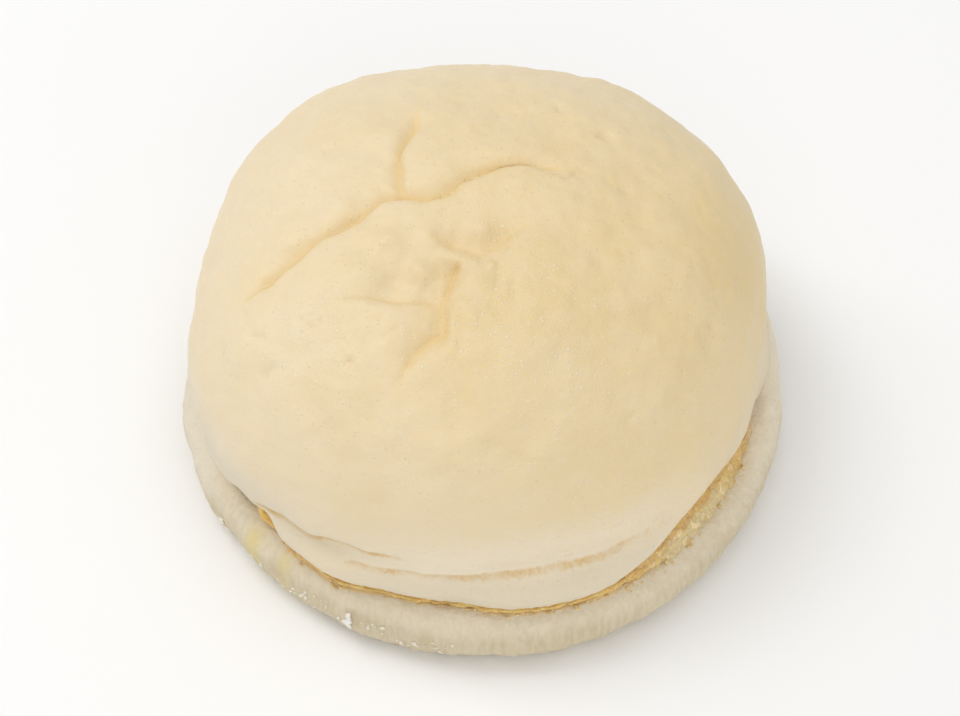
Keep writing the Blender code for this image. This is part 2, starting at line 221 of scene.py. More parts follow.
@dataclass(frozen=True)
class BunForm:
    """The bun's driving sizes, and the curves that its base, custard and top are made from."""

    base_size: float = 47.6 * MM
    base_height: float = 11.6 * MM
    dome_size: float = 44.4 * MM
    height: float = 54.0 * MM
    custard_thickness: float = 4.0 * MM
    gap: float = 0.3 * MM
    base_widest_height: float = 6.4 * MM
    base_foot_inset: float = 4.6 * MM
    base_lip_inset: float = 3.8 * MM
    torn_rim_drop: float = 1.1 * MM
    torn_rim_width: float = 12 * MM
    uncut_rim_rise: float = 3.2 * MM
    uncut_rim_width: float = 7.0 * MM
    dome_widest_height: float = 20.5 * MM
    dome_squareness: float = 2.45
    dome_tuck: float = 2.4 * MM
    lip_round: float = 1.2 * MM
    rim_width: float = 7 * MM
    skirt_width: float = 4.9 * MM
    skirt_power: float = 1.5
    slit_height: float = 0.7 * MM
    bulge_height: float = 2.6 * MM
    blob_height: float = 1.8 * MM
    custard_recess: float = 4.0 * MM
    uncut_recess: float = 5.0 * MM
    shown_in_slit: float = 0.88
    custard_ooze: float = 1.8 * MM
    custard_rim_width: float = 24 * MM
    flare_reach: float = 1.7 * MM
    flare_height: float = 6.0 * MM
    flare_depth: float = 0.35 * MM
    bare_shoulder: float = 1.5 * MM
    slope_least: float = 0.95 * MM
    slope_more: float = 1.3 * MM
    seam_margin: float = 0.9 * MM
    base_waves: tuple[Wave, ...] = (Wave(2, 0.006, -65), Wave(3, 0.003, -50), Wave(4, 0.0052, 7.5))
    dome_waves: tuple[Wave, ...] = (
        Wave(1, 0.029, 151),
        Wave(2, 0.0255, 24),
        Wave(3, 0.0125, 9.7),
        Wave(4, 0.0188, 38.4),
    )
    dome_flattened: Swelling = Swelling(Stretch(174, 24, 20), -0.6 * MM)
    base_flattened: Swelling = Swelling(Stretch(171, 22, 18), -0.8 * MM)
    slit_front: Stretch = Stretch(-75.5, 70.5, 12)
    open_right: Stretch = Stretch(-38, 34, 26)
    open_left: Stretch = Stretch(-139, 12, 10)
    skirt: Stretch = Stretch(-84, 54, 40)
    straight_side: Stretch = Stretch(-8, 48, 34)
    uncut_back: Stretch = Stretch(88, 100, 24)
    widest_gape: Stretch = Stretch(-42, 20, 17)
    torn_band: Stretch = Stretch(-36, 30.5, 5)
    toe_waves: tuple[Wave, ...] = (Wave(47, 0.0035, 0), Wave(83, 0.003, 2), Wave(131, 0.0025, 1))
    flared: Stretch = Stretch(84, 97, 18)
    lip_swellings: tuple[Swelling, ...] = (
        Swelling(Stretch(-97, 51, 14), 0.95 * MM),
        Swelling(Stretch(-102.5, 19, 15), -2.0 * MM),
        Swelling(Stretch(-74, 14, 12), 0.35 * MM),
        Swelling(Stretch(-36, 24, 9), 0.35 * MM),
        Swelling(Stretch(-138.5, 8, 5), -1.4 * MM),
    )

    @staticmethod
    def outline(angle: np.ndarray, radius: float, waves: Sequence[Wave]) -> np.ndarray:
        """The radius of an uneven round outline in one direction."""
        unevenness = sum(w.share * np.cos(w.count * (angle - math.radians(w.crest))) for w in waves)
        return radius * (1 + unevenness)

    def dome_radius(self, angle: np.ndarray) -> np.ndarray:
        """Radius of the dome at its widest."""
        return self.outline(angle, self.dome_size, self.dome_waves) + self.dome_flattened.at(angle)

    def base_radius(self, angle: np.ndarray) -> np.ndarray:
        """Radius of the base at its widest."""
        return self.outline(angle, self.base_size, self.base_waves) + self.base_flattened.at(angle)

    def base_top(self, radius: np.ndarray, angle: np.ndarray) -> np.ndarray:
        """Height of the base's upper face, its rim torn down where the slit gapes and raised where uncut."""
        inside_rim = self.base_size - self.base_lip_inset - radius
        torn = self.open_right.at(angle) * eased(1 - inside_rim / self.torn_rim_width)
        uncut = self.uncut_back.at(angle) * eased(1 - inside_rim / self.uncut_rim_width)
        return self.base_height - self.torn_rim_drop * torn + self.uncut_rim_rise * uncut

    def side_tuck(self, angle: np.ndarray) -> np.ndarray:
        """How far the top's lower edge is tucked in. At one side and the back the wall hangs straight."""
        return self.dome_tuck * (1 - np.maximum(self.straight_side.at(angle), self.uncut_back.at(angle)))

    def skirt_out(self, angle: np.ndarray) -> np.ndarray:
        """How far the top's lower edge is pushed out as a skirt."""
        swollen = sum(swelling.at(angle) for swelling in self.lip_swellings)
        return self.skirt_width * self.skirt.at(angle) + swollen

    def lip_radius(self, angle: np.ndarray) -> np.ndarray:
        """Radius of the top's lower edge."""
        return self.dome_radius(angle) - self.side_tuck(angle) + self.skirt_out(angle)

    def slit_open(self, angle: np.ndarray) -> np.ndarray:
        """1 where the slit is open and 0 where the bun is uncut."""
        return np.maximum(self.slit_front.at(angle), self.open_left.at(angle))

    def side_radius(self, height: np.ndarray, angle: np.ndarray) -> np.ndarray:
        """Radius of the base's side and of its rounded lip."""
        below = (1 - height / self.base_widest_height).clip(0, 1)
        top = self.base_top(self.base_radius(angle) - self.base_lip_inset, angle)
        above = ((height - self.base_widest_height) / (top - self.base_widest_height)).clip(0, 1)
        at_foot = self.base_foot_inset * (1 - np.sqrt(1 - below**2))
        at_lip = self.base_lip_inset * (1 - np.sqrt(1 - above**2))
        return self.base_radius(angle) - (at_foot + at_lip)

    def base_surface(self, radius: np.ndarray, angle: np.ndarray) -> np.ndarray:
        """Height of the base where it is seen from above, over its upper face and its rounded lip."""
        outer = self.base_radius(angle)
        over_lip = ((radius - outer + self.base_lip_inset) / self.base_lip_inset).clip(0, 1)
        top = self.base_top(np.minimum(radius, outer - self.base_lip_inset), angle)
        return self.base_widest_height + (top - self.base_widest_height) * np.sqrt(1 - over_lip**2)

    def unrolled(self, points: np.ndarray) -> np.ndarray:
        """Points' places on the unrolled wall, in mm: the distance round the dome from +X, and the height."""
        return np.column_stack([np.arctan2(points[:, 1], points[:, 0]) * self.dome_size, points[:, 2]]) / MM

    def custard_radius(self, angle: np.ndarray) -> np.ndarray:
        """Radius of the custard's edge, which comes out to the lip only where the slit is open."""
        oozing = self.open_right.at(angle)
        at_front = self.shown_in_slit * self.slit_front.at(angle)
        shown = np.maximum.reduce([at_front, oozing, self.open_left.at(angle)])
        recess = self.custard_recess * (1 - shown) + self.uncut_recess * self.uncut_back.at(angle)
        return self.lip_radius(angle) - recess + self.custard_ooze * oozing

    def slope_toe(self, angle: np.ndarray) -> np.ndarray:
        """Radius of the foot of the torn slope in the gaping part of the slit."""
        reach = self.slope_least + self.slope_more * self.widest_gape.at(angle)
        return self.outline(angle, 1, self.toe_waves) * self.lip_radius(angle) + reach

    def custard_height(self, radius: np.ndarray, angle: np.ndarray) -> np.ndarray:
        """Thickness of the custard: full in the middle, thin at the rim, and swollen where the slit gapes."""
        at_rim = (
            self.slit_height
            + self.bulge_height * self.open_right.at(angle)
            + self.blob_height * self.open_left.at(angle)
        )
        rim_share = eased(1 - (self.custard_radius(angle) - radius) / self.custard_rim_width)
        return self.custard_thickness + (at_rim - self.custard_thickness) * rim_share

    def underside(self, radius: np.ndarray, angle: np.ndarray) -> np.ndarray:
        """Height of the top's lower face, which lies on the custard and closes onto the base beyond it."""
        floor = self.base_top(radius, angle)
        over_custard = floor + self.custard_height(radius, angle) + 2 * self.gap
        over_base = floor + self.gap
        past_custard = eased((radius - self.custard_radius(angle) - self.seam_margin) / self.lip_round)
        return over_custard + (over_base - over_custard) * past_custard * (1 - self.slit_open(angle))

    def flare_out(self, angle: np.ndarray) -> np.ndarray:
        """How far the lip is laid out where the bun is uncut, which leaves the base's shoulder bare."""
        room = self.base_radius(angle) - self.bare_shoulder - self.lip_radius(angle)
        return self.flared.at(angle) * room.clip(0, self.flare_reach)

    def lip_edge(self, turn: float | np.ndarray, angle: np.ndarray) -> Ring:
        """The top's lip: rounded where the bun is cut, and laid out over the base's shoulder where it isn't.

        Args:
            turn: How far round the lip, from 0 underneath to a quarter turn at its outermost.
            angle: Direction of each point.

        Returns:
            The radius and the height of each point.
        """
        flared = self.flared.at(angle)
        flat = self.lip_radius(angle) - self.lip_round
        start = self.underside(flat, angle)
        radius = flat + (self.lip_round + self.flare_out(angle)) * np.sin(turn)
        rounded = start + self.lip_round * (1 - np.cos(turn))
        lifted = (start - self.base_surface(flat, angle)) * np.cos(turn) ** 2
        laid = self.base_surface(radius, angle) - self.flare_depth * np.sin(turn) ** 2 + lifted
        return radius, rounded + (laid - rounded) * flared

    def top_side(self, share: np.ndarray, angle: np.ndarray) -> Ring:
        """The top's side, from its lip at share 0 to the dome's widest ring at share 1.

        Args:
            share: Share of the way up the side.
            angle: Direction of each point.

        Returns:
            The radius and the height of each point.
        """
        _, lip_height = self.lip_edge(math.pi / 2, angle)
        height = lip_height + (self.dome_widest_height - lip_height) * share
        radius = self.dome_radius(angle) - self.side_tuck(angle) * (1 - share) ** 2
        radius += self.skirt_out(angle) * (1 - share**2) ** self.skirt_power
        up_the_flare = np.clip((height - lip_height) / self.flare_height, 0, 1)
        return radius + self.flare_out(angle) * (1 - up_the_flare) ** 2, height

    def crown(self, turn: np.ndarray, angle: np.ndarray) -> Ring:
        """Radius and height of the crown, from the dome's widest ring at turn 0 to its pole at a quarter."""
        power = 2 / self.dome_squareness
        rise = self.height - self.dome_widest_height
        radius = self.dome_radius(angle) * np.cos(turn).clip(0) ** power
        return radius, self.dome_widest_height + rise * np.sin(turn).clip(0) ** power

    def crown_normal(self, points: np.ndarray) -> np.ndarray:
        """The outward direction of the smooth dome at points on it."""
        reach = self.dome_radius(np.arctan2(points[:, 1], points[:, 0]))[:, None]
        spread = points[:, :2] / reach
        away = np.linalg.norm(spread, axis=1, keepdims=True)
        rise = (points[:, 2:] - self.dome_widest_height).clip(0) / (self.height - self.dome_widest_height)
        outwards = spread / away.clip(1e-9) * away ** (self.dome_squareness - 1) / reach
        normal = np.column_stack([outwards, rise ** (self.dome_squareness - 1) / self.height])
        return normal / np.linalg.norm(normal, axis=1, keepdims=True).clip(1e-9)


# --------------------------------------------------------------------------------------------------------
# Shader building


@dataclass(frozen=True)
class Noise:
    """Soft noise.

    Its size is its patches' in mm, its layers are finer noise on it and rough is their strength. The stretch
    is how much its patches are squeezed along each axis, and the contrast is the range that is widened to
    0 to 1, where there is one.
    """

    size: float
    layers: float = 2
    rough: float = 0.5
    stretch: tuple[float, float, float] = (1, 1, 1)
    contrast: tuple[float, float] | None = None


@dataclass(frozen=True)
class Bubbles:
    """Scattered small round bubbles: the mm between places where one may be, and the share that has one."""

    size: float
    share: float
    core: float = 0.05
    rim: float = 0.34
    softness: float = 0.04


@dataclass(frozen=True)
class RaggedMask:
    """A painted mask whose edge noise makes ragged: how much, and from where to where it fades in."""

    mask: str
    raggedness: float
    start: float
    end: float


@dataclass(frozen=True)
class Tint:
    """A colour laid on where the mesh carries a painted mask, and how strongly."""

    mask: str
    share: float
    colour: Colour


class Value:
    """A number that varies over a surface, so that shader maths can be written as Python expressions."""

    def __init__(self, graph: Graph, socket: bpy.types.NodeSocket) -> None:
        """Keeps the graph and the socket that gives the number."""
        self.graph = graph
        self.socket = socket

    def _maths(self, operation: str, first: Any, second: Any) -> Value:
        """A Math node on two numbers or values."""
        sockets = {"Value": first, "Value_001": second}
        made = self.graph.node("ShaderNodeMath", {"operation": operation}, sockets)
        return Value(self.graph, made.outputs[0])

    def __add__(self, other: Any) -> Value:
        """This plus other."""
        return self._maths("ADD", self, other)

    def __radd__(self, other: Any) -> Value:
        """Other plus this."""
        return self._maths("ADD", other, self)

    def __sub__(self, other: Any) -> Value:
        """This minus other."""
        return self._maths("SUBTRACT", self, other)

    def __rsub__(self, other: Any) -> Value:
        """Other minus this."""
        return self._maths("SUBTRACT", other, self)

    def __mul__(self, other: Any) -> Value:
        """This times other."""
        return self._maths("MULTIPLY", self, other)

    def __rmul__(self, other: Any) -> Value:
        """Other times this."""
        return self._maths("MULTIPLY", other, self)

    def between(self, low: float, high: float) -> Value:
        """Eases from 0 where this is at low to 1 where it is at high."""
        made = self.graph.node(
            "ShaderNodeMapRange",
            {"interpolation_type": "SMOOTHSTEP"},
            {"Value": self, "From Min": low, "From Max": high, "To Min": 0.0, "To Max": 1.0},
        )
        return Value(self.graph, made.outputs[0])


class Graph:
    """The node tree of one material, with its Principled shader."""

    def __init__(self, name: str) -> None:
        """Makes the material."""
        self.material = bpy.data.materials.new(name)
        self.material.use_nodes = True
        self.tree = self.material.node_tree
        self.shader = self.tree.nodes["Principled BSDF"]

    def node(self, kind: str, settings: dict[str, Any], sockets: dict[str, Any]) -> bpy.types.Node:
        """Adds one node.

        Args:
            kind: The node's type.
            settings: Its own settings, which are set first.
            sockets: Values or links of its inputs, by name or identifier.

        Returns:
            The node.
        """
        made = self.tree.nodes.new(kind)
        for name, value in settings.items():
            setattr(made, name, value)
        for key, value in sockets.items():
            self.feed(made, key, value)
        return made

    def feed(self, node: bpy.types.Node, key: str, value: Any) -> None:
        """Sets or links one input of a node.

        Args:
            node: The node that has the input.
            key: The input's identifier or name.
            value: A value to set, or a Value or socket to link.
        """
        socket = next((s for s in node.inputs if s.identifier == key), None) or node.inputs[key]
        if isinstance(value, Value):
            self.tree.links.new(value.socket, socket)
        elif isinstance(value, bpy.types.NodeSocket):
            self.tree.links.new(value, socket)
        elif isinstance(value, tuple) and socket.type == "RGBA":
            socket.default_value = (*value, 1)
        else:
            socket.default_value = value

    def place(self, stretch: tuple[float, float, float] = (1, 1, 1)) -> bpy.types.NodeSocket:
        """The point on the object in mm, stretched along its axes."""
        point = self.node("ShaderNodeTexCoord", {}, {}).outputs["Object"]
        scale = tuple(share / MM for share in stretch)
        return self.node("ShaderNodeMapping", {}, {"Vector": point, "Scale": scale}).outputs[0]

    def noise(self, kind: Noise) -> Value:
        """Soft noise around 0.5, over the whole range from 0 to 1 where it has a contrast."""
        sockets = {
            "Vector": self.place(kind.stretch),
            "Scale": 1 / kind.size,
            "Detail": float(kind.layers),
            "Roughness": kind.rough,
        }
        noise = Value(self, self.node("ShaderNodeTexNoise", {}, sockets).outputs[0])
        return noise.between(*kind.contrast) if kind.contrast else noise

    def bubbles(self, kind: Bubbles) -> Value:
        """1 in the middle of each bubble, falling to 0 round it."""
        cells = self.node("ShaderNodeTexVoronoi", {}, {"Vector": self.place(), "Scale": 1 / kind.size})
        chance = self.node("ShaderNodeSeparateColor", {}, {"Color": cells.outputs["Color"]})
        kept = Value(self, chance.outputs[0]).between(1 - kind.share, 1 - kind.share + kind.softness)
        near = 1 - Value(self, cells.outputs["Distance"]).between(kind.core, kind.rim)
        return near * kept

    def attribute(self, name: str) -> Value:
        """A number painted on the mesh."""
        return Value(self, self.node("ShaderNodeAttribute", {"attribute_name": name}, {}).outputs["Fac"])

    def mix(self, factor: Any, first: Any, second: Any) -> bpy.types.NodeSocket:
        """A colour between two colours."""
        made = self.node(
            "ShaderNodeMix",
            {"data_type": "RGBA"},
            {"Factor_Float": factor, "A_Color": first, "B_Color": second},
        )
        return next(socket for socket in made.outputs if socket.identifier == "Result_Color")

    def ragged(self, kind: RaggedMask, noise: Value) -> Value:
        """A painted mask with a ragged edge."""
        torn = self.attribute(kind.mask) + (noise - 0.5) * kind.raggedness
        return torn.between(kind.start, kind.end)

    def tinted(self, colour: Any, *tints: Tint) -> Any:
        """A colour with tints laid on it one after another."""
        for tint in tints:
            colour = self.mix(self.attribute(tint.mask) * tint.share, colour, tint.colour)
        return colour

    def bump(self, height: Value, depth_mm: float) -> bpy.types.NodeSocket:
        """A bump of the given depth, for the Normal input."""
        sockets = {"Height": height, "Distance": depth_mm * MM, "Strength": 1.0}
        return self.node("ShaderNodeBump", {}, sockets).outputs[0]

    def finish(self, **sockets: Any) -> bpy.types.Material:
        """Sets the shader's inputs, whose names are given with _ for a space, and gives the material."""
        for name, value in sockets.items():
            self.feed(self.shader, name.replace("_", " ").title().replace("Ior", "IOR"), value)
        return self.material


# --------------------------------------------------------------------------------------------------------
# Finishes


def scattering(reach: Colour, depth: float = 1.0 * MM) -> dict[str, Any]:
    """Shader inputs for light inside soft food: how far red, green and blue go, as shares of a depth."""
    return {"subsurface_weight": 0.2, "subsurface_radius": reach, "subsurface_scale": depth}


@dataclass(frozen=True)
class BreadSkin:
    """The satin skin of the top: cream, warmer in patches, golden in its creases, brown where it is torn.

    The warmer patches are partly the skin's own colour from baking and partly painted shade towards the
    right of the dome and low at its front. The golden colour in the creases and along the folds is painted
    shade, as is the darker colour low on the walls and under the front folds, and the bubbles carry painted
    glints.
    """

    name: str = "soft_white_bread"
    cream: Colour = (0.845, 0.70, 0.465)
    warm: Colour = (0.785, 0.605, 0.31)
    pale: Colour = (0.86, 0.765, 0.60)
    # Painted glints on the bubbles.
    bubble_glint: Colour = (0.96, 0.90, 0.77)
    # Painted shade for the lines of the folds.
    fold_shade: Colour = (0.73, 0.50, 0.22)
    soaked: Colour = (0.74, 0.51, 0.20)
    creamy: Tint = Tint("creamy", 0.75, (0.86, 0.765, 0.60))
    # Painted shade low on the walls and under the front folds.
    dull: Tint = Tint("dull", 0.85, (0.735, 0.645, 0.48))
    # Golden painted shade in the crown's creases.
    golden: Tint = Tint("crease", 0.8, (0.84, 0.62, 0.27))
    fold_shade_mask: RaggedMask = RaggedMask("fold", 0.81, 0.3, 0.8)
    soaked_mask: RaggedMask = RaggedMask("soaked", 0.9, 0.4, 0.6)
    baked_share: float = 0.8
    patchiness: float = 0.2
    mottling: float = 0.12
    evenness_of_folds: float = 0.35
    patches: Noise = Noise(15, 2, contrast=(0.38, 0.62))
    mottle: Noise = Noise(3.0, 3, contrast=(0.3, 0.7))
    ragged: Noise = Noise(0.7, 3, 0.7)
    grain: Noise = Noise(0.5, 3, 0.65)
    lumps: Noise = Noise(1.7, 3, 0.6)
    fine_lumps: Noise = Noise(0.42, 2, 0.6)
    drawn: Noise = Noise(1.3, 3, 0.6, (1, 1, 0.1))
    large_bubbles: Bubbles = Bubbles(0.95, 0.34)
    small_bubbles: Bubbles = Bubbles(0.55, 0.2)
    bump_mm: float = 0.19

    def material(self) -> bpy.types.Material:
        """Builds the material."""
        graph = Graph(self.name)
        mottle = graph.noise(self.mottle)
        bubbly = graph.attribute("bubbly")
        bubbles = graph.bubbles(self.large_bubbles) * bubbly
        small_bubbles = graph.bubbles(self.small_bubbles)
        height = self.relief(graph, bubbly) + bubbles * 0.6 + small_bubbles * 0.4
        return graph.finish(
            base_color=self.colour(graph, mottle, bubbles * 0.6 + small_bubbles * (bubbly * 0.8 + 0.12)),
            roughness=0.44 + mottle * self.mottling,
            normal=graph.bump(height, self.bump_mm),
            specular_ior_level=0.42,
            **scattering((1.0, 0.8, 0.5)),
        )

    def colour(self, graph: Graph, mottle: Value, bubbles: Value) -> bpy.types.NodeSocket:
        """The skin's colour.

        Args:
            graph: The material's graph.
            mottle: Small soft patches, from 0 to 1.
            bubbles: Where the skin has bubbles, from 0 to 1, which carry painted glints.

        Returns:
            The colour.
        """
        uneven = (graph.noise(self.patches) - 0.5) * self.patchiness
        # Warmer patches, partly the skin's own colour from baking and partly painted shade on the right of
        # the dome and low at its front.
        baked = graph.attribute("baked") * self.baked_share + uneven
        colour = graph.mix(baked, self.cream, self.warm)
        # Paler low walls, then painted shade low on the walls and under the front folds.
        colour = graph.tinted(graph.mix(mottle * self.mottling, colour, self.pale), self.creamy, self.dull)
        # Painted glints on the bubbles, then golden painted shade in the creases.
        colour = graph.tinted(graph.mix(bubbles, colour, self.bubble_glint), self.golden)
        ragged = graph.noise(self.ragged)
        broken = self.evenness_of_folds + mottle * (1 - self.evenness_of_folds)
        # Painted shade along the folds of the wall, in a broken, ragged line.
        colour = graph.mix(graph.ragged(self.fold_shade_mask, ragged) * broken, colour, self.fold_shade)
        return graph.mix(graph.ragged(self.soaked_mask, ragged) * 0.9, colour, self.soaked)

    def relief(self, graph: Graph, bubbly: Value) -> Value:
        """The height of the skin's grain and lumps, which is stronger where the skin is bubbly or drawn."""
        height = graph.noise(self.grain) * 0.35 + graph.noise(self.lumps) * (bubbly * 0.4 + 0.1)
        height = height + graph.noise(self.fine_lumps) * bubbly * 0.6
        return height + graph.noise(self.drawn) * graph.attribute("streaky") * 1.5


@dataclass(frozen=True)
class BreadEdge:
    """The paler, rougher bread of the base: drawn in upright streaks, with a stain where custard touched it,
    and painted light on the upper part of its rim.
    """

    name: str = "pale_bread_edge"
    pale: Colour = (0.715, 0.625, 0.455)
    grey: Colour = (0.62, 0.525, 0.35)
    # Painted light for the upper part of the rim.
    painted_light: Colour = (0.86, 0.765, 0.60)
    stain: Colour = (0.82, 0.59, 0.27)
    skin: Tint = Tint("skin", 1.0, (0.81, 0.70, 0.51))
    rosy: Tint = Tint("rosy", 0.8, (0.83, 0.75, 0.61))
    smear: Tint = Tint("smear", 0.75, (0.76, 0.63, 0.26))
    stain_mask: RaggedMask = RaggedMask("stain", 1.3, 0.25, 0.9)
    streaks: Noise = Noise(0.8, 3, 0.6, (1, 1, 0.14))
    streak_contrast: tuple[float, float] = (0.38, 0.62)
    patches: Noise = Noise(8, 3, contrast=(0.35, 0.7))
    strands: Noise = Noise(0.55, 3, 0.7, (1, 1, 0.3))
    grain: Noise = Noise(0.45, 3, 0.7)
    bump_mm: float = 0.26

    def material(self) -> bpy.types.Material:
        """Builds the material."""
        graph = Graph(self.name)
        streaks = graph.noise(self.streaks)
        greyness = graph.noise(self.patches) * 0.4 + streaks.between(*self.streak_contrast) * 0.6
        colour = graph.tinted(graph.mix(greyness, self.pale, self.grey), self.skin, self.rosy)
        # Painted light on the upper part of the rim, broken by the streaks.
        colour = graph.mix(graph.attribute("painted_light") * (0.95 - streaks * 0.35), colour, self.painted_light)
        colour = graph.tinted(colour, self.smear)
        strands = graph.noise(self.strands)
        stain_and_shade = graph.ragged(self.stain_mask, strands)
        height = streaks * 1.1 + graph.noise(self.grain) * 0.55 + strands * stain_and_shade * 0.6
        return graph.finish(
            base_color=graph.mix(stain_and_shade * 0.9, colour, self.stain),
            roughness=0.62 + streaks * 0.2,
            normal=graph.bump(height, self.bump_mm),
            specular_ior_level=0.26,
            **scattering((1.0, 0.82, 0.6)),
        )


@dataclass(frozen=True)
class CustardGel:
    """Set custard: golden and glossy where smooth, brown and matt where it has soaked into torn crumb."""

    name: str = "custard"
    yellow: Colour = (0.86, 0.61, 0.18)
    amber: Colour = (0.74, 0.43, 0.09)
    crumb: Colour = (0.99, 0.77, 0.30)
    brown: Colour = (0.91, 0.57, 0.20)
    faded: Colour = (1.0, 0.80, 0.47)
    shaded: Tint = Tint("shaded", 0.75, (0.91, 0.57, 0.20))
    faded_mask: RaggedMask = RaggedMask("faded", 0.6, 0.1, 1.0)
    clouds: Noise = Noise(3.0, 3, contrast=(0.35, 0.65))
    fibres: Noise = Noise(0.7, 4, 0.7, (1, 1, 0.4), contrast=(0.34, 0.62))
    lumps: Noise = Noise(1.2, 2)
    grain: Noise = Noise(0.4, 3, 0.7)
    bump_mm: float = 0.25

    def material(self) -> bpy.types.Material:
        """Builds the material."""
        graph = Graph(self.name)
        smooth = graph.mix(graph.noise(self.clouds), self.yellow, self.amber)
        fibres = graph.noise(self.fibres)
        torn = graph.tinted(graph.mix(fibres, self.crumb, self.brown), self.shaded)
        torn = graph.mix(graph.ragged(self.faded_mask, fibres) * 0.85, torn, self.faded)
        crumbled = graph.attribute("crumbled")
        height = graph.noise(self.lumps) * 0.3 + (fibres + graph.noise(self.grain)) * crumbled
        return graph.finish(
            base_color=graph.mix(crumbled, smooth, torn),
            roughness=0.3 + crumbled * 0.45,
            normal=graph.bump(height, self.bump_mm),
            coat_weight=0.35 * (1 - crumbled),
            coat_roughness=0.2,
            **scattering((1.0, 0.6, 0.15)),
        )


@dataclass(frozen=True)
class CrumbFinish:
    """Dry crumb, in one colour with lighter flecks."""

    name: str
    colour: Colour
    light: Colour
    flecks: Noise = Noise(0.4, 3, 0.7)
    fleck_contrast: tuple[float, float] = (0.35, 0.65)
    bump_mm: float = 0.12

    def material(self) -> bpy.types.Material:
        """Builds the material."""
        graph = Graph(self.name)
        flecks = graph.noise(self.flecks)
        return graph.finish(
            base_color=graph.mix(flecks.between(*self.fleck_contrast), self.colour, self.light),
            roughness=0.6 + flecks * 0.25,
            normal=graph.bump(flecks, self.bump_mm),
            **scattering((1.0, 0.7, 0.4), 0.6 * MM),
        )


# --------------------------------------------------------------------------------------------------------
# Modelling steps


class Grain(Enum):
    """The kinds of unevenness that a surface can be given, by the texture that makes them."""

    SOFT_LUMPS = "CLOUDS"
    CRUMB = "STUCCI"


@dataclass(frozen=True)
class Unevenness:
    """How a surface is uneven: its kind, its lumps' size, and its depth from lowest to highest."""

    grain: Grain
    size: float
    depth: float


def deselect_all() -> None:
    """Leaves nothing selected."""
    bpy.ops.object.select_all(action="DESELECT")


def take_up(obj: bpy.types.Object) -> None:
    """Selects one object alone and makes it the active one."""
    deselect_all()
    obj.select_set(True)
    bpy.context.view_layer.objects.active = obj


def points_of(obj: bpy.types.Object) -> np.ndarray:
    """The object's vertices as rows."""
    points = np.empty(len(obj.data.vertices) * 3)
    obj.data.vertices.foreach_get("co", points)
    return points.reshape(-1, 3)


def move_points(obj: bpy.types.Object, points: np.ndarray) -> None:
    """Puts the object's vertices at new places."""
    obj.data.vertices.foreach_set("co", points.ravel())
    obj.data.update()


def paint(obj: bpy.types.Object, name: str, amounts: np.ndarray) -> None:
    """Stores a number for each vertex, for the materials to read."""
    layer = obj.data.attributes.new(name, "FLOAT", "POINT")
    layer.data.foreach_set("value", amounts.astype(np.float32))


def roughen(obj: bpy.types.Object, kind: Unevenness, where: np.ndarray | None = None) -> None:
    """Displaces a surface along its normals, both ways.

    Args:
        obj: The object.
        kind: The unevenness it is given.
        where: Share of the depth at each vertex, or None for the whole depth everywhere.
    """
    texture = bpy.data.textures.new(f"{obj.name}_{kind.grain.name.lower()}", kind.grain.value)
    texture.noise_scale = kind.size
    push = obj.modifiers.new("unevenness", "DISPLACE")
    push.texture = texture
    push.texture_coords = "LOCAL"
    push.strength = kind.depth
    push.mid_level = 0.5
    if where is not None:
        group = obj.vertex_groups.new(name="unevenness")
        levels = np.rint(where.clip(0, 1) * WEIGHT_STEPS).astype(int)
        for level in range(1, WEIGHT_STEPS + 1):
            group.add(np.flatnonzero(levels == level).tolist(), level / WEIGHT_STEPS, "REPLACE")
        push.vertex_group = group.name
    take_up(obj)
    bpy.ops.object.modifier_apply(modifier=push.name)
    if where is not None:
        obj.vertex_groups.clear()


def face_outwards(obj: bpy.types.Object) -> None:
    """Turns every face of a closed mesh outwards."""
    take_up(obj)
    bpy.ops.object.mode_set(mode="EDIT")
    bpy.ops.mesh.select_all(action="SELECT")
    bpy.ops.mesh.normals_make_consistent(inside=False)
    bpy.ops.object.mode_set(mode="OBJECT")


def laid_out(name: str, segments: int, runs: Sequence[tuple[int, Rule]]) -> bpy.types.Object:
    """A closed round body: a grid whose rows are wrapped round the axis and laid along a profile of runs.

    Args:
        name: The object's name.
        segments: Steps round the axis.
        runs: From the middle of the underside to the middle of the top, each run's rows and its rule. A rule
            takes the share of the way along its run and the angle, and gives the radius and the height.

    Returns:
        The object, smooth shaded.
    """
    rows = sum(count for count, _ in runs)
    deselect_all()
    bpy.ops.mesh.primitive_grid_add(x_subdivisions=segments, y_subdivisions=rows, size=2)
    obj = bpy.context.object
    obj.name = obj.data.name = name
    guide = points_of(obj)
    angle = guide[:, 0] * math.pi
    row = np.rint((guide[:, 1] + 1) / 2 * rows).astype(int)
    radius = np.zeros(len(guide))
    height = np.zeros(len(guide))
    first = 0
    for count, rule in runs:
        here = (row >= first) & (row <= first + count)
        radius[here], height[here] = rule((row[here] - first) / count, angle[here])
        first += count
    move_points(obj, np.column_stack([radius * np.cos(angle), radius * np.sin(angle), height]))
    take_up(obj)
    bpy.ops.object.mode_set(mode="EDIT")
    bpy.ops.mesh.select_all(action="SELECT")
    bpy.ops.mesh.remove_doubles(threshold=SEAM_WELD)
    bpy.ops.object.mode_set(mode="OBJECT")
    bpy.ops.object.shade_smooth()
    return obj


def dress(obj: bpy.types.Object, material: bpy.types.Material) -> bpy.types.Object:
    """Gives a finished piece its material, and lets it ride on the bun.

    Args:
        obj: The piece.
        material: Its material.

    Returns:
        The piece.
    """
    obj.data.materials.clear()
    obj.data.materials.append(material)
    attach(obj, BODY)
    LOG.info("%s: %d faces", obj.name, len(obj.data.polygons))
    return obj


# --------------------------------------------------------------------------------------------------------
# The pieces


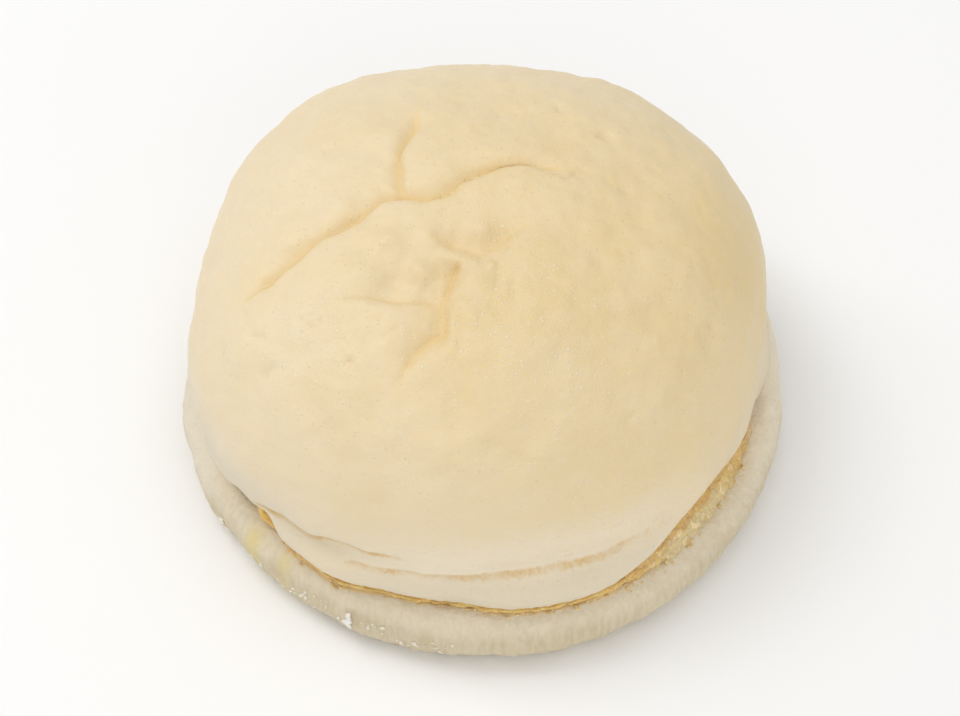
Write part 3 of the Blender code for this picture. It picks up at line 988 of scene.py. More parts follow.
@dataclass
class BreadTop:
    """The domed top, with its creased crown, its folded skirt and its lip.

    The creases are, in this order, the long one, the upright one, the shelf, the wall of the dimple and the
    notch. The first two folds are the long ones on the front of the wall.
    """

    form: BunForm
    segments: int = 440
    uncreased_height: float = 12 * MM
    wall_foot: Ramp = Ramp(14.0 * MM, 0.5 * MM)
    least_bubbly: float = 0.1
    lesser_crease_share: float = 0.3
    dimple: Pit = Pit(-7.0, -12.0, 9.0, 1.8)
    creases: tuple[Crease, ...] = (
        Crease(
            (
                (-36.2, -12.4), (-34.4, -11.2), (-31.4, -9.3), (-28.4, -7.0), (-25.6, -5.4), (-21.9, -3.8),
                (-18.3, -1.8), (-16.3, 0.2), (-14.6, 1.4), (-12.3, 1.5), (-8.3, 0.8), (-5.8, 1.5),
                (-3.3, 3.7), (-0.9, 5.2), (2.6, 6.3), (5.6, 6.6), (10.6, 6.1), (14.0, 5.1),
            ),
            depth=1.75,
            left_wall=1.4,
            right_wall=0.75,
            start_fade=5,
            end_fade=9,
        ),
        Crease(
            (
                (-12.0, 0.3), (-12.6, 4.0), (-12.6, 7.4), (-12.4, 10.2), (-11.5, 13.0), (-10.5, 15.2),
                (-9.6, 20.0),
            ),
            depth=1.6,
            left_wall=1.1,
            right_wall=0.65,
            start_fade=1,
            end_fade=7,
        ),
        Crease(
            ((-22.5, -15.7), (-17.6, -16.0), (-14.4, -16.7), (-12.0, -17.2), (-9.1, -17.2), (-6.3, -17.4)),
            depth=1.6,
            left_wall=3.6,
            right_wall=0.5,
            start_fade=8,
            end_fade=1,
            bottom=0.3,
            stain_and_shade=0.5,
        ),
        Crease(
            (
                (-3.5, -9.8), (-4.2, -11.9), (-5.0, -14.6), (-5.9, -16.2), (-6.3, -17.8), (-6.2, -20.4),
                (-6.3, -22.6), (-8.1, -23.2), (-10.0, -25.0), (-11.9, -27.9), (-12.0, -31.0),
            ),
            depth=2.0,
            left_wall=0.9,
            right_wall=3.0,
            start_fade=2,
            end_fade=8,
            bottom=0.15,
            stain_and_shade=0.75,
        ),
        Crease(
            ((-9.0, -5.2), (-6.3, -6.2), (-3.3, -7.7), (-0.4, -8.9), (2.5, -6.6), (4.4, -5.4), (7.8, -4.5)),
            depth=1.7,
            left_wall=2.6,
            right_wall=1.0,
            start_fade=5,
            end_fade=7,
            bottom=0.6,
            stain_and_shade=0.4,
        ),
    )
    wrinkles: tuple[Crease, ...] = (
        Crease(((2.2, -12.4), (1.7, -16.8)), 0.55, 0.5, 0.8, 1.2, 2.5),
        Crease(((4.2, -13.2), (3.9, -19.2)), 0.5, 0.5, 0.8, 1.5, 3.0),
        Crease(((-3.3, -17.6), (-4.0, -21.4), (-3.0, -25.5)), 0.4, 0.9, 0.5, 1.5, 2.0),
        Crease(((-33.9, -17.4), (-31.0, -18.7)), 0.5, 0.4, 0.4, 0.8, 0.8),
        Crease(((-32.4, -23.8), (-29.4, -22.7)), 0.5, 0.4, 0.4, 0.8, 0.8),
        Crease(((11.2, 21.0), (11.4, 17.2)), 0.5, 0.7, 0.7, 1.6, 1.2),
        Crease(((15.2, 6.8), (12.2, 4.0), (11.0, 3.6)), 0.45, 0.5, 0.5, 1.2, 1.0),
        Crease(((19.6, 3.9), (22.2, 3.5)), 0.35, 0.4, 0.4, 0.8, 0.8),
        Crease(((-33.4, 3.0), (-28.4, 1.1)), 0.3, 0.6, 0.6, 1.5, 1.5),
        Crease(((-19.6, -23.8), (-14.5, -22.4), (-10.6, -20.4)), 0.3, 1.0, 0.7, 3.0, 3.0),
        Crease(((19.9, -31.2), (21.8, -29.4)), 0.3, 0.4, 0.4, 0.6, 0.6),
    )
    pits: tuple[Pit, ...] = (
        Pit(-13.4, -13.2, 2.4, 1.0),
        Pit(-8.2, -15.2, 2.0, 0.6),
        Pit(-19.1, -25.2, 0.7, 0.6),
        Pit(-26.3, -17.6, 0.5, 0.4),
        Pit(-24.8, -19.0, 0.5, 0.4),
        Pit(-23.6, -18.5, 0.4, 0.35),
        Pit(-23.6, 12.2, 1.1, 0.4),
        Pit(18.3, 14.2, 0.9, 0.6),
        Pit(17.3, 13.9, 0.6, 0.4),
        Pit(10.9, 4.9, 0.7, 0.4),
        Pit(33.1, -14.4, 0.7, 0.4),
        Pit(2.7, -4.8, 2.6, 0.5),
        Pit(-9.4, -12.0, 1.9, -1.2),
        Pit(-13.6, -6.8, 2.2, -0.8),
        Pit(-17.4, -12.2, 2.8, -0.8),
        Pit(-3.2, -19.0, 2.6, -0.7),
        Pit(-1.8, -13.4, 2.2, -0.6),
        Pit(-4.2, -24.0, 2.6, -0.45),
        Pit(-7.6, -6.2, 1.8, -0.7),
        Pit(0.2, -5.0, 1.6, -0.6),
        Pit(6.5, -11.0, 2.2, -0.5),
        Pit(1.2, -11.6, 0.7, -0.4),
        Pit(-1.2, -10.9, 0.6, -0.35),
    )
    folds: tuple[Crease, ...] = (
        Crease(
            (
                (-107.5, 19.2), (-104.2, 20.3), (-101.3, 21.1), (-99.2, 20.8), (-96.9, 20.5), (-95.6, 20.7),
                (-93.3, 21.7), (-90.2, 22.3), (-87.2, 21.6), (-83.1, 21.8), (-79.0, 21.5),
            ),
            depth=1.0,
            left_wall=0.6,
            right_wall=1.6,
            start_fade=2,
            end_fade=9,
        ),
        Crease(
            (
                (-90.9, 18.0), (-89.5, 18.9), (-87.7, 18.8), (-84.7, 18.6), (-81.0, 19.1), (-78.6, 19.0),
                (-74.4, 18.9), (-70.2, 19.0), (-65.6, 19.2), (-58.9, 19.3), (-53.5, 19.0), (-50.3, 19.1),
                (-46.8, 19.5), (-43.2, 19.3), (-39.3, 19.1), (-33.0, 19.0),
            ),
            depth=0.65,
            left_wall=0.5,
            right_wall=0.9,
            start_fade=1.5,
            end_fade=20,
        ),
        Crease(((-52.1, 24.1), (-49.4, 24.2), (-46.1, 23.1)), 0.4, 0.7, 0.7, 1.5, 1.5),
        Crease(((-84.4, 24.2), (-80.0, 24.7), (-73.0, 24.2)), 0.25, 0.8, 0.8, 3.0, 3.0),
        Crease(((-58.0, 18.4), (-54.0, 18.0), (-51.0, 17.9)), 0.35, 0.35, 0.4, 2.0, 2.0),
        Crease(((-58.5, 17.7), (-54.0, 17.3), (-50.0, 17.3)), 0.25, 0.35, 0.4, 2.0, 2.0),
        Crease(((-78.0, 15.6), (-70.0, 15.2), (-60.0, 15.6)), 0.25, 0.6, 0.6, 3.0, 4.0),
    )
    bubbly_places: tuple[Pit, ...] = (
        Pit(6.0, -18.0, 10.0, 1.0),
        Pit(-25.0, -19.0, 8.0, 1.0),
        Pit(12.0, -28.0, 12.0, 0.7),
        Pit(-9.0, -27.0, 10.0, 0.6),
        Pit(2.0, -4.0, 7.0, 0.7),
    )
    # Warmer patches, partly the skin's own colour from baking and partly painted shade towards the right edge
    # and the lower front.
    baked_patches: tuple[Pit, ...] = (
        Pit(24.0, -7.0, 36.0, 1.0),
        Pit(38.0, -1.0, 11.0, 0.35),
        Pit(-4.0, -24.0, 14.0, 0.4),
    )
    pale_wall: Stretch = Stretch(-160, 62, 44)
    pale_height: Ramp = Ramp(34 * MM, 14 * MM)
    pale_front_height: Ramp = Ramp(31 * MM, 9 * MM)
    baked_height: Ramp = Ramp(15 * MM, 10 * MM)
    dull_left_height: Ramp = Ramp(32 * MM, 10 * MM)
    right_wall: Stretch = Stretch(0, 46, 30)
    dull_right_height: Ramp = Ramp(30 * MM, 12 * MM)
    dull_right_share: float = 0.5
    below_folds_height: Ramp = Ramp(19.5 * MM, 2 * MM)
    drawn_wall: Stretch = Stretch(20, 46, 20)
    drawn_height: Ramp = Ramp(26 * MM, 8 * MM)
    broad_lumps: Unevenness = Unevenness(Grain.SOFT_LUMPS, 13 * MM, 2.2 * MM)
    broad_height: Ramp = Ramp(15 * MM, 6 * MM)
    small_lumps: Unevenness = Unevenness(Grain.SOFT_LUMPS, 4.2 * MM, 0.6 * MM)
    fine_lumps: Unevenness = Unevenness(Grain.SOFT_LUMPS, 1.7 * MM, 0.2 * MM)
    lumpy_height: Ramp = Ramp(30 * MM, 14 * MM)
    small_lumps_below: float = 0.3
    fine_lumps_below: float = 0.35
    torn_lip: Unevenness = Unevenness(Grain.CRUMB, 0.9 * MM, 0.5 * MM)
    torn_over_lip: Ramp = Ramp(1.1 * MM, 0.8 * MM)
    soaked_over_lip: Ramp = Ramp(0.85 * MM, 0.5 * MM)
    crease_line_width: float = 0.45
    fold_line_width: float = 0.75
    # How much painted shade the creases' sides take on, and the depth at which it is full.
    shaded_side_share: float = 0.5
    shaded_side_depth: float = 1.9

    def build(self) -> bpy.types.Object:
        """Models the top.

        Returns:
            The dressed piece, which stands for the solid top.
        """
        form = self.form
        obj = laid_out("bread_top", self.segments, self.runs())
        smooth = points_of(obj)
        self.press_in(obj)
        angle = np.arctan2(smooth[:, 1], smooth[:, 0])
        height = smooth[:, 2]
        over_lip = height - form.underside(form.lip_radius(angle) - form.lip_round, angle)
        higher_up = self.lumpy_height.above(height)
        roughen(obj, self.broad_lumps, self.broad_height.above(height))
        roughen(obj, self.small_lumps, self.small_lumps_below + higher_up * (1 - self.small_lumps_below))
        roughen(obj, self.fine_lumps, self.fine_lumps_below + higher_up * (1 - self.fine_lumps_below))
        roughen(obj, self.torn_lip, form.slit_open(angle) * self.torn_over_lip.below(over_lip))
        paint(obj, "soaked", form.slit_open(angle) * self.soaked_over_lip.below(over_lip))
        at_front = form.skirt.at(angle)
        low_left = self.pale_wall.at(angle) * self.pale_height.below(height)
        paint(obj, "creamy", np.maximum(low_left, at_front * self.pale_front_height.below(height)))
        # Painted shade: low on the left wall, low on the right wall at half strength, and under the front
        # folds.
        shade_left = low_left * self.dull_left_height.below(height)
        shade_right = self.dull_right_share * self.right_wall.at(angle) * self.dull_right_height.below(height)
        below_folds = at_front * self.below_folds_height.below(height)
        paint(obj, "dull", np.maximum(below_folds, shade_left + shade_right))
        paint(obj, "streaky", self.drawn_wall.at(angle) * self.drawn_height.below(height))
        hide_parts("bun_top")
        return dress(obj, BreadSkin().material())

    def press_in(self, obj: bpy.types.Object) -> None:
        """Sinks the creases, folds and pits, and paints where they are.

        Args:
            obj: The smooth top.
        """
        form = self.form
        points = points_of(obj)
        plan = points[:, :2] / MM
        unrolled = form.unrolled(points)
        on_crown = eased((points[:, 2] - form.dome_widest_height) / self.uncreased_height)
        on_wall = self.wall_foot.above(points[:, 2])
        sunk_crown = self.crown_depth(plan) * on_crown * MM
        sunk_wall = sum(fold.depth_at(unrolled) for fold in self.folds) * on_wall * MM
        moved = points - form.crown_normal(points) * sunk_crown[:, None]
        outwards = points[:, :2] / np.linalg.norm(points[:, :2], axis=1, keepdims=True).clip(1e-9)
        moved[:, :2] -= outwards * sunk_wall[:, None]
        move_points(obj, moved)
        # Painted shade along the crown's creases, on their lines and their sides.
        paint(obj, "crease", on_crown * self.crease_shade(plan))
        # Painted shade along the lines of the wall's folds.
        folds = [fold.line_at(unrolled, self.fold_line_width) * min(1, fold.depth) for fold in self.folds]
        paint(obj, "fold", np.max(folds, axis=0) * on_wall)
        bubbly = sum(place.depth_at(plan) for place in self.bubbly_places)
        paint(obj, "bubbly", on_crown * bubbly.clip(self.least_bubbly, 1))
        # Warmer patches, partly the skin's own colour from baking and partly painted shade.
        baked = sum(patch.depth_at(plan) for patch in self.baked_patches)
        paint(obj, "baked", baked * self.baked_height.above(points[:, 2]))

    def crown_depth(self, plan: np.ndarray) -> np.ndarray:
        """How deep the crown is sunk by all its marks at points seen from above, in mm.

        Args:
            plan: The points, in mm.

        Returns:
            The depths. Where creases meet, the deepest counts whole and the others only in part.
        """
        depths = np.array([crease.depth_at(plan) for crease in self.creases])
        deepest = depths.max(axis=0)
        lesser = self.lesser_crease_share * (depths.sum(axis=0) - deepest)
        marks = (self.dimple, *self.wrinkles, *self.pits)
        return deepest + lesser + sum(mark.depth_at(plan) for mark in marks)

    def crease_shade(self, plan: np.ndarray) -> np.ndarray:
        """Painted shade in the creases: darkest on their lines, and on their sides as deep as they are."""
        width = self.crease_line_width
        lines = np.max([crease.line_at(plan, width) * crease.stain_and_shade for crease in self.creases], axis=0)
        sides = np.max([crease.depth_at(plan) * crease.stain_and_shade**3 for crease in self.creases], axis=0)
        return np.maximum(lines, self.shaded_side_share * eased(sides / self.shaded_side_depth))

    def runs(self) -> tuple[tuple[int, Rule], ...]:
        """The top's profile, from the middle of its underside to its pole."""
        form = self.form

        def inner_face(share: np.ndarray, angle: np.ndarray) -> Ring:
            """The flat of the underside."""
            radius = (form.lip_radius(angle) - form.lip_round - form.rim_width) * share
            return radius, form.underside(radius, angle)

        def rim_face(share: np.ndarray, angle: np.ndarray) -> Ring:
            """The underside near the lip."""
            radius = form.lip_radius(angle) - form.lip_round - form.rim_width * (1 - share)
            return radius, form.underside(radius, angle)

        def lip(share: np.ndarray, angle: np.ndarray) -> Ring:
            """The rounded lip."""
            return form.lip_edge(math.pi / 2 * share, angle)

        def crown(share: np.ndarray, angle: np.ndarray) -> Ring:
            """The dome above its widest ring."""
            return form.crown(math.pi / 2 * share, angle)

        return ((4, inner_face), (8, rim_face), (8, lip), (42, form.top_side), (162, crown))


@dataclass
class BreadBase:
    """The base, with its flat foot, its streaky side, its crumbly foot edge and its torn rim."""

    form: BunForm
    segments: int = 560
    face_spacing: float = 1.6
    smears: tuple[Pit, ...] = (Pit(-34.8, -30.8, 1.6, 1.0), Pit(-29.9, -35.1, 1.2, 0.8))
    foot_crumbs: Stretch = Stretch(-122, 34, 10)
    pale_side: Stretch = Stretch(-176, 36, 20)
    pale_side_height: Ramp = Ramp(5 * MM, 4 * MM)
    painted_light_rim: Stretch = Stretch(-60, 100, 24)
    brightest_rim: Stretch = Stretch(-6, 34, 24)
    less_painted_light: float = 0.6
    painted_light_height: Ramp = Ramp(7 * MM, 3 * MM)
    uncut_height: Ramp = Ramp(5 * MM, 7 * MM)
    rim_height: Ramp = Ramp(8.0 * MM, 1.5 * MM)
    toe_overlap: float = 0.9 * MM
    torn_past_custard: Ramp = Ramp(1.7 * MM, 1.7 * MM)
    stained_past_custard: Ramp = Ramp(0.45 * MM, 0.45 * MM)
    foot_start: Ramp = Ramp(0, 0.4 * MM)
    foot_end: Ramp = Ramp(5 * MM, 4 * MM)
    side_width: float = 2 * MM
    torn_stain: float = 0.45
    slit_stain: float = 0.85
    smoother_uncut: float = 0.7
    least_foot_crumbs: float = 0.4
    torn_crumbs: float = 0.6
    slit_crumbs: float = 0.7
    broad_lumps: Unevenness = Unevenness(Grain.SOFT_LUMPS, 9 * MM, 1.6 * MM)
    small_lumps: Unevenness = Unevenness(Grain.SOFT_LUMPS, 3.0 * MM, 0.55 * MM)
    crumbly_foot: Unevenness = Unevenness(Grain.CRUMB, 1.2 * MM, 1.0 * MM)
    crumbly_rim: Unevenness = Unevenness(Grain.CRUMB, 0.9 * MM, 0.5 * MM)

    def build(self) -> bpy.types.Object:
        """Models the base.

        Returns:
            The dressed piece, which stands for the solid base.
        """
        form = self.form
        obj = laid_out("bread_base", self.segments, self.runs())
        points = points_of(obj)
        angle = np.arctan2(points[:, 1], points[:, 0])
        radius = np.hypot(points[:, 0], points[:, 1])
        height = points[:, 2]
        custard_edge = form.custard_radius(angle)
        custard_edge += (form.slope_toe(angle) - self.toe_overlap - custard_edge) * form.open_right.at(angle)
        past_edge = radius - custard_edge
        on_side = eased((radius - form.base_radius(angle) + form.base_foot_inset) / self.side_width)
        foot = on_side * self.foot_start.above(height) * self.foot_end.below(height)
        on_rim = self.rim_height.above(height)
        torn_band = form.torn_band.at(angle)
        torn = torn_band * on_rim * self.torn_past_custard.below(past_edge)
        in_slit = form.slit_open(angle) * on_rim * self.stained_past_custard.below(past_edge)
        uncut = form.uncut_back.at(angle) * self.uncut_height.above(height)
        # Painted light on the upper part of the rim, strongest at the right beside the gape, lifting it out
        # of the dome's shade.
        brightness = self.less_painted_light + (1 - self.less_painted_light) * self.brightest_rim.at(angle)
        paint(obj, "painted_light", self.painted_light_rim.at(angle) * brightness * self.painted_light_height.above(height))
        slit_stain = self.slit_stain + (self.torn_stain - self.slit_stain) * torn_band
        paint(obj, "stain", np.maximum(torn * self.torn_stain, in_slit * slit_stain))
        paint(obj, "skin", uncut)
        paint(obj, "rosy", self.pale_side.at(angle) * self.pale_side_height.above(height))
        paint(obj, "smear", sum(smear.depth_at(points[:, :2] / MM) for smear in self.smears).clip(0, 1))
        crumbly = self.least_foot_crumbs + (1 - self.least_foot_crumbs) * self.foot_crumbs.at(angle)
        roughen(obj, self.broad_lumps, on_side * (1 - uncut * self.smoother_uncut))
        roughen(obj, self.small_lumps, on_side)
        roughen(obj, self.crumbly_foot, foot * crumbly)
        roughen(obj, self.crumbly_rim, np.maximum(torn * self.torn_crumbs, in_slit * self.slit_crumbs))
        self.rest_on_floor(obj)
        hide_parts("bun_base")
        return dress(obj, BreadEdge().material())

    @staticmethod
    def rest_on_floor(obj: bpy.types.Object) -> None:
        """Keeps every point at or above the floor."""
        points = points_of(obj)
        points[:, 2] = points[:, 2].clip(0)
        move_points(obj, points)

    def runs(self) -> tuple[tuple[int, Rule], ...]:
        """The base's profile, from the middle of its underside to the middle of its upper face."""
        form = self.form

        def foot(share: np.ndarray, angle: np.ndarray) -> Ring:
            """The flat underside."""
            return (form.base_radius(angle) - form.base_foot_inset) * share, 0 * share

        def side(share: np.ndarray, angle: np.ndarray) -> Ring:
            """From the foot out to the widest ring."""
            turn = math.pi / 2 * share
            radius = form.base_radius(angle) - form.base_foot_inset * (1 - np.sin(turn))
            return radius, form.base_widest_height * (1 - np.cos(turn))

        def lip(share: np.ndarray, angle: np.ndarray) -> Ring:
            """From the widest ring up over the lip."""
            turn = math.pi / 2 * share
            inner = form.base_radius(angle) - form.base_lip_inset
            rise = form.base_top(inner, angle) - form.base_widest_height
            radius = inner + form.base_lip_inset * np.cos(turn)
            return radius, form.base_widest_height + rise * np.sin(turn)

        def face(share: np.ndarray, angle: np.ndarray) -> Ring:
            """The upper face, with more rings near its rim."""
            radius = (form.base_radius(angle) - form.base_lip_inset) * (1 - share**self.face_spacing)
            return radius, form.base_top(radius, angle)

        return ((8, foot), (34, side), (30, lip), (48, face))


@dataclass
class CustardLayer:
    """The custard layer, whose edge shows in the slit and is a ragged slope where the slit gapes."""

    form: BunForm
    segments: int = 520
    blob_recess: float = 0.9 * MM
    toe_depth: float = 0.9 * MM
    toe_start: Ramp = Ramp(0.8, 0.2)
    slope_hollow: float = 0.85
    slope_under_lip: float = 0.7 * MM
    soaked_share: float = 0.6
    rim_width: Ramp = Ramp(-3.5 * MM, 1.5 * MM)
    faded_width: Ramp = Ramp(-2.5 * MM, 1.6 * MM)
    shaded_past_lip: Ramp = Ramp(1.0 * MM, 1.2 * MM)
    soft_lumps: Unevenness = Unevenness(Grain.SOFT_LUMPS, 1.9 * MM, 0.7 * MM)
    crumbs: Unevenness = Unevenness(Grain.CRUMB, 0.9 * MM, 0.9 * MM)
    crumbs_share: float = 0.35

    def build(self) -> bpy.types.Object:
        """Models the custard.

        Returns:
            The dressed piece, which stands for the solid custard.
        """
        form = self.form
        obj = laid_out("custard_layer", self.segments, self.runs())
        points = points_of(obj)
        angle = np.arctan2(points[:, 1], points[:, 0])
        radius = np.hypot(points[:, 0], points[:, 1])
        gaping = form.open_right.at(angle)
        torn = form.torn_band.at(angle)
        edge = form.custard_radius(angle) + (form.slope_toe(angle) - form.custard_radius(angle)) * gaping
        rim = self.rim_width.above(radius - edge)
        soaked = self.soaked_share * form.slit_front.at(angle) * (1 - form.open_left.at(angle))
        paint(obj, "crumbled", rim * np.maximum(torn, soaked))
        paint(obj, "shaded", rim * torn * self.shaded_past_lip.below(radius - form.lip_radius(angle)))
        paint(obj, "faded", form.widest_gape.at(angle) * self.faded_width.above(radius - edge))
        roughen(obj, self.soft_lumps, rim)
        roughen(obj, self.crumbs, rim * self.crumbs_share * (1 + gaping))
        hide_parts("custard_filling")
        return dress(obj, CustardGel().material())

    def runs(self) -> tuple[tuple[int, Rule], ...]:
        """The custard's profile, from the middle of its underside to the middle of its upper face."""
        form = self.form

        def rounded_radius(angle: np.ndarray) -> np.ndarray:
            """Radius at which the edge starts where it is rounded."""
            outer = form.custard_radius(angle) - self.blob_recess * form.open_left.at(angle)
            return outer - form.custard_height(outer, angle) / 2

        def flat_radius(angle: np.ndarray) -> np.ndarray:
            """Radius at which the edge starts on the upper face."""
            rounded = rounded_radius(angle)
            under_lip = form.lip_radius(angle) - self.slope_under_lip
            return rounded + (under_lip - rounded) * form.open_right.at(angle)

        def toe_radius(angle: np.ndarray) -> np.ndarray:
            """Radius at which the edge starts on the lower face, which is further out where it gapes."""
            rounded = rounded_radius(angle)
            return rounded + (form.slope_toe(angle) - rounded) * form.open_right.at(angle)

        def lifted(angle: np.ndarray) -> np.ndarray:
            """How far the custard lies over the base: by the gap, and not at all in the slit."""
            return form.gap * (1 - form.slit_open(angle))

        def lower_face(share: np.ndarray, angle: np.ndarray) -> Ring:
            """The face on the base."""
            radius = toe_radius(angle) * np.sqrt(share)
            sinking = self.toe_depth * form.open_right.at(angle) * self.toe_start.above(share)
            return radius, form.base_surface(radius, angle) + lifted(angle) - sinking

        def edge(share: np.ndarray, angle: np.ndarray) -> Ring:
            """The edge: rounded in the slit, and a hollow slope where the slit gapes."""
            gaping = form.open_right.at(angle)
            flat = flat_radius(angle)
            half_height = form.custard_height(flat, angle) / 2
            turn = math.pi * share
            round_radius = flat + half_height * np.sin(turn)
            round_height = form.base_top(flat, angle) + lifted(angle) + half_height * (1 - np.cos(turn))
            slope_radius = toe_radius(angle) + (flat - toe_radius(angle)) * share
            top = form.base_top(flat, angle) + form.gap + 2 * half_height
            foot = form.base_surface(slope_radius, angle) - self.toe_depth * (1 - share)
            slope_height = foot + (top - foot) * share**self.slope_hollow
            radius = round_radius + (slope_radius - round_radius) * gaping
            return radius, round_height + (slope_height - round_height) * gaping

        def upper_face(share: np.ndarray, angle: np.ndarray) -> Ring:
            """The face under the top."""
            radius = flat_radius(angle) * (1 - share**2)
            return radius, form.base_top(radius, angle) + form.gap + form.custard_height(radius, angle)

        return ((12, lower_face), (24, edge), (24, upper_face))


@dataclass
class CustardDrop:
    """A lump of custard squeezed out at the left end of the slit."""

    angle: float = math.radians(-137.4)
    radius: float = 43.9 * MM
    height: float = 13.7 * MM
    sizes: tuple[float, float, float] = (5.0 * MM, 1.5 * MM, 1.3 * MM)
    tilt: float = math.radians(38)
    taper: float = 0.3
    bend: float = 0.35 * MM
    bend_length: float = 1 / 1.1 * MM
    lumps: Unevenness = Unevenness(Grain.SOFT_LUMPS, 1.1 * MM, 1.0 * MM)

    def build(self) -> bpy.types.Object:
        """Models the lump.

        Returns:
            The dressed piece.
        """
        deselect_all()
        bpy.ops.mesh.primitive_uv_sphere_add(segments=40, ring_count=24, radius=0.5)
        obj = bpy.context.object
        obj.name = obj.data.name = "custard_drop"
        points = points_of(obj) * np.array(self.sizes)
        points[:, 1:] *= 1 - self.taper * points[:, :1] / (self.sizes[0] / 2)
        points[:, 1] += self.bend * np.sin(points[:, 0] / self.bend_length)
        across = self.angle + math.pi / 2
        turned = Matrix.Rotation(across, 3, "Z") @ Matrix.Rotation(self.tilt, 3, "Y")
        points = points @ np.array(turned).T
        points += (self.radius * math.cos(self.angle), self.radius * math.sin(self.angle), self.height)
        move_points(obj, points)
        roughen(obj, self.lumps)
        obj.data.shade_smooth()
        return dress(obj, CustardGel().material())


@dataclass
class TornFlake:
    """A thin flake of bread that has come away from the side of the base and curls outwards."""

    form: BunForm
    angle: float = math.radians(-115.8)
    foot: float = 4.6 * MM
    width: float = 1.9 * MM
    height: float = 4.2 * MM
    thickness: float = 0.3 * MM
    narrowing: float = 0.65
    lean: float = 0.9 * MM
    standing_off: float = 0.45 * MM
    edge_curl: float = 0.35 * MM
    tip_curl: float = 0.6 * MM
    ripple: float = 0.2 * MM
    ripples: float = 9
    notches: tuple[tuple[float, float, float], ...] = ((0.12, 17, 0), (0.1, 29, 1))
    torn: Unevenness = Unevenness(Grain.CRUMB, 0.8 * MM, 0.4 * MM)
    finish: CrumbFinish = CrumbFinish("flake_bread", (0.87, 0.83, 0.75), (0.93, 0.91, 0.86))
    columns: int = 14
    rows: int = 22

    def build(self) -> bpy.types.Object:
        """Models the flake.

        Returns:
            The dressed piece.
        """
        form = self.form
        deselect_all()
        bpy.ops.mesh.primitive_grid_add(x_subdivisions=self.columns, y_subdivisions=self.rows, size=2)
        obj = bpy.context.object
        obj.name = obj.data.name = "torn_flake"
        across, up = points_of(obj)[:, :2].T
        up = (up + 1) / 2
        ragged = sum(depth * np.sin(up * often + start) for depth, often, start in self.notches)
        share = 1.0 - self.narrowing * up + ragged * np.abs(across)
        aside = across * share * self.width / 2 + self.lean * up
        height = self.foot + self.height * up
        angle = self.angle + aside / form.base_size
        curl = self.edge_curl * across + self.tip_curl * up**3 + self.ripple * np.sin(up * self.ripples)
        radius = form.side_radius(height, angle) + self.standing_off + curl
        move_points(obj, np.column_stack([radius * np.cos(angle), radius * np.sin(angle), height]))
        wall = obj.modifiers.new("thickness", "SOLIDIFY")
        wall.thickness = self.thickness
        wall.offset = 0
        take_up(obj)
        bpy.ops.object.modifier_apply(modifier=wall.name)
        roughen(obj, self.torn)
        face_outwards(obj)
        obj.data.shade_smooth()
        return dress(obj, self.finish.material())


@dataclass(frozen=True)
class CrumbTrail:
    """One kind of crumb, and where it lies.

    The stretch is given by its two ends in degrees. The rule for places takes random numbers and an angle,
    and gives a radius and a height.
    """

    name: str
    slot: str
    finish: CrumbFinish
    ends: tuple[float, float]
    count: int
    largest: float
    flatness: float
    seed: int
    place: Callable[[np.random.Generator, float], tuple[float, float]]
    smallest: float = 0.3 * MM
    narrowness: tuple[float, float] = (0.5, 0.9)
    torn: Unevenness = Unevenness(Grain.CRUMB, 0.5 * MM, 0.45 * MM)

    def build(self) -> bpy.types.Object:
        """Models one crumb, lays copies of it along the stretch and joins them.

        Returns:
            The dressed piece.
        """
        chance = np.random.default_rng(self.seed)
        deselect_all()
        bpy.ops.mesh.primitive_uv_sphere_add(segments=8, ring_count=6, radius=0.5 * MM)
        first = bpy.context.object
        roughen(first, self.torn)
        shape = points_of(first) / MM
        crumbs = []
        for _ in range(self.count):
            crumb = first.copy()
            crumb.data = first.data.copy()
            bpy.context.scene.collection.objects.link(crumb)
            move_points(crumb, self.scattered(shape, chance))
            crumbs.append(crumb)
        bpy.data.objects.remove(first)
        deselect_all()
        for crumb in crumbs:
            crumb.select_set(True)
        bpy.context.view_layer.objects.active = crumbs[0]
        bpy.ops.object.join()
        obj = bpy.context.object
        obj.name = obj.data.name = self.name
        obj.data.shade_smooth()
        return dress(obj, self.finish.material())

    def scattered(self, shape: np.ndarray, chance: np.random.Generator) -> np.ndarray:
        """One crumb's points, at a random size and turn and in a random place.

        Args:
            shape: The points of a crumb of size 1.
            chance: The random numbers.

        Returns:
            The points.
        """
        angle = math.radians(chance.uniform(*self.ends))
        radius, height = self.place(chance, angle)
        size = self.smallest + (self.largest - self.smallest) * chance.random() ** 2
        about_z = Matrix.Rotation(chance.uniform(0, math.tau), 3, "Z")
        turned = about_z @ Matrix.Rotation(chance.random(), 3, "X")
        stretched = shape * size * np.array([1, chance.uniform(*self.narrowness), self.flatness])
        spot = (radius * math.cos(angle), radius * math.sin(angle), height)
        return stretched @ np.array(turned).T + spot


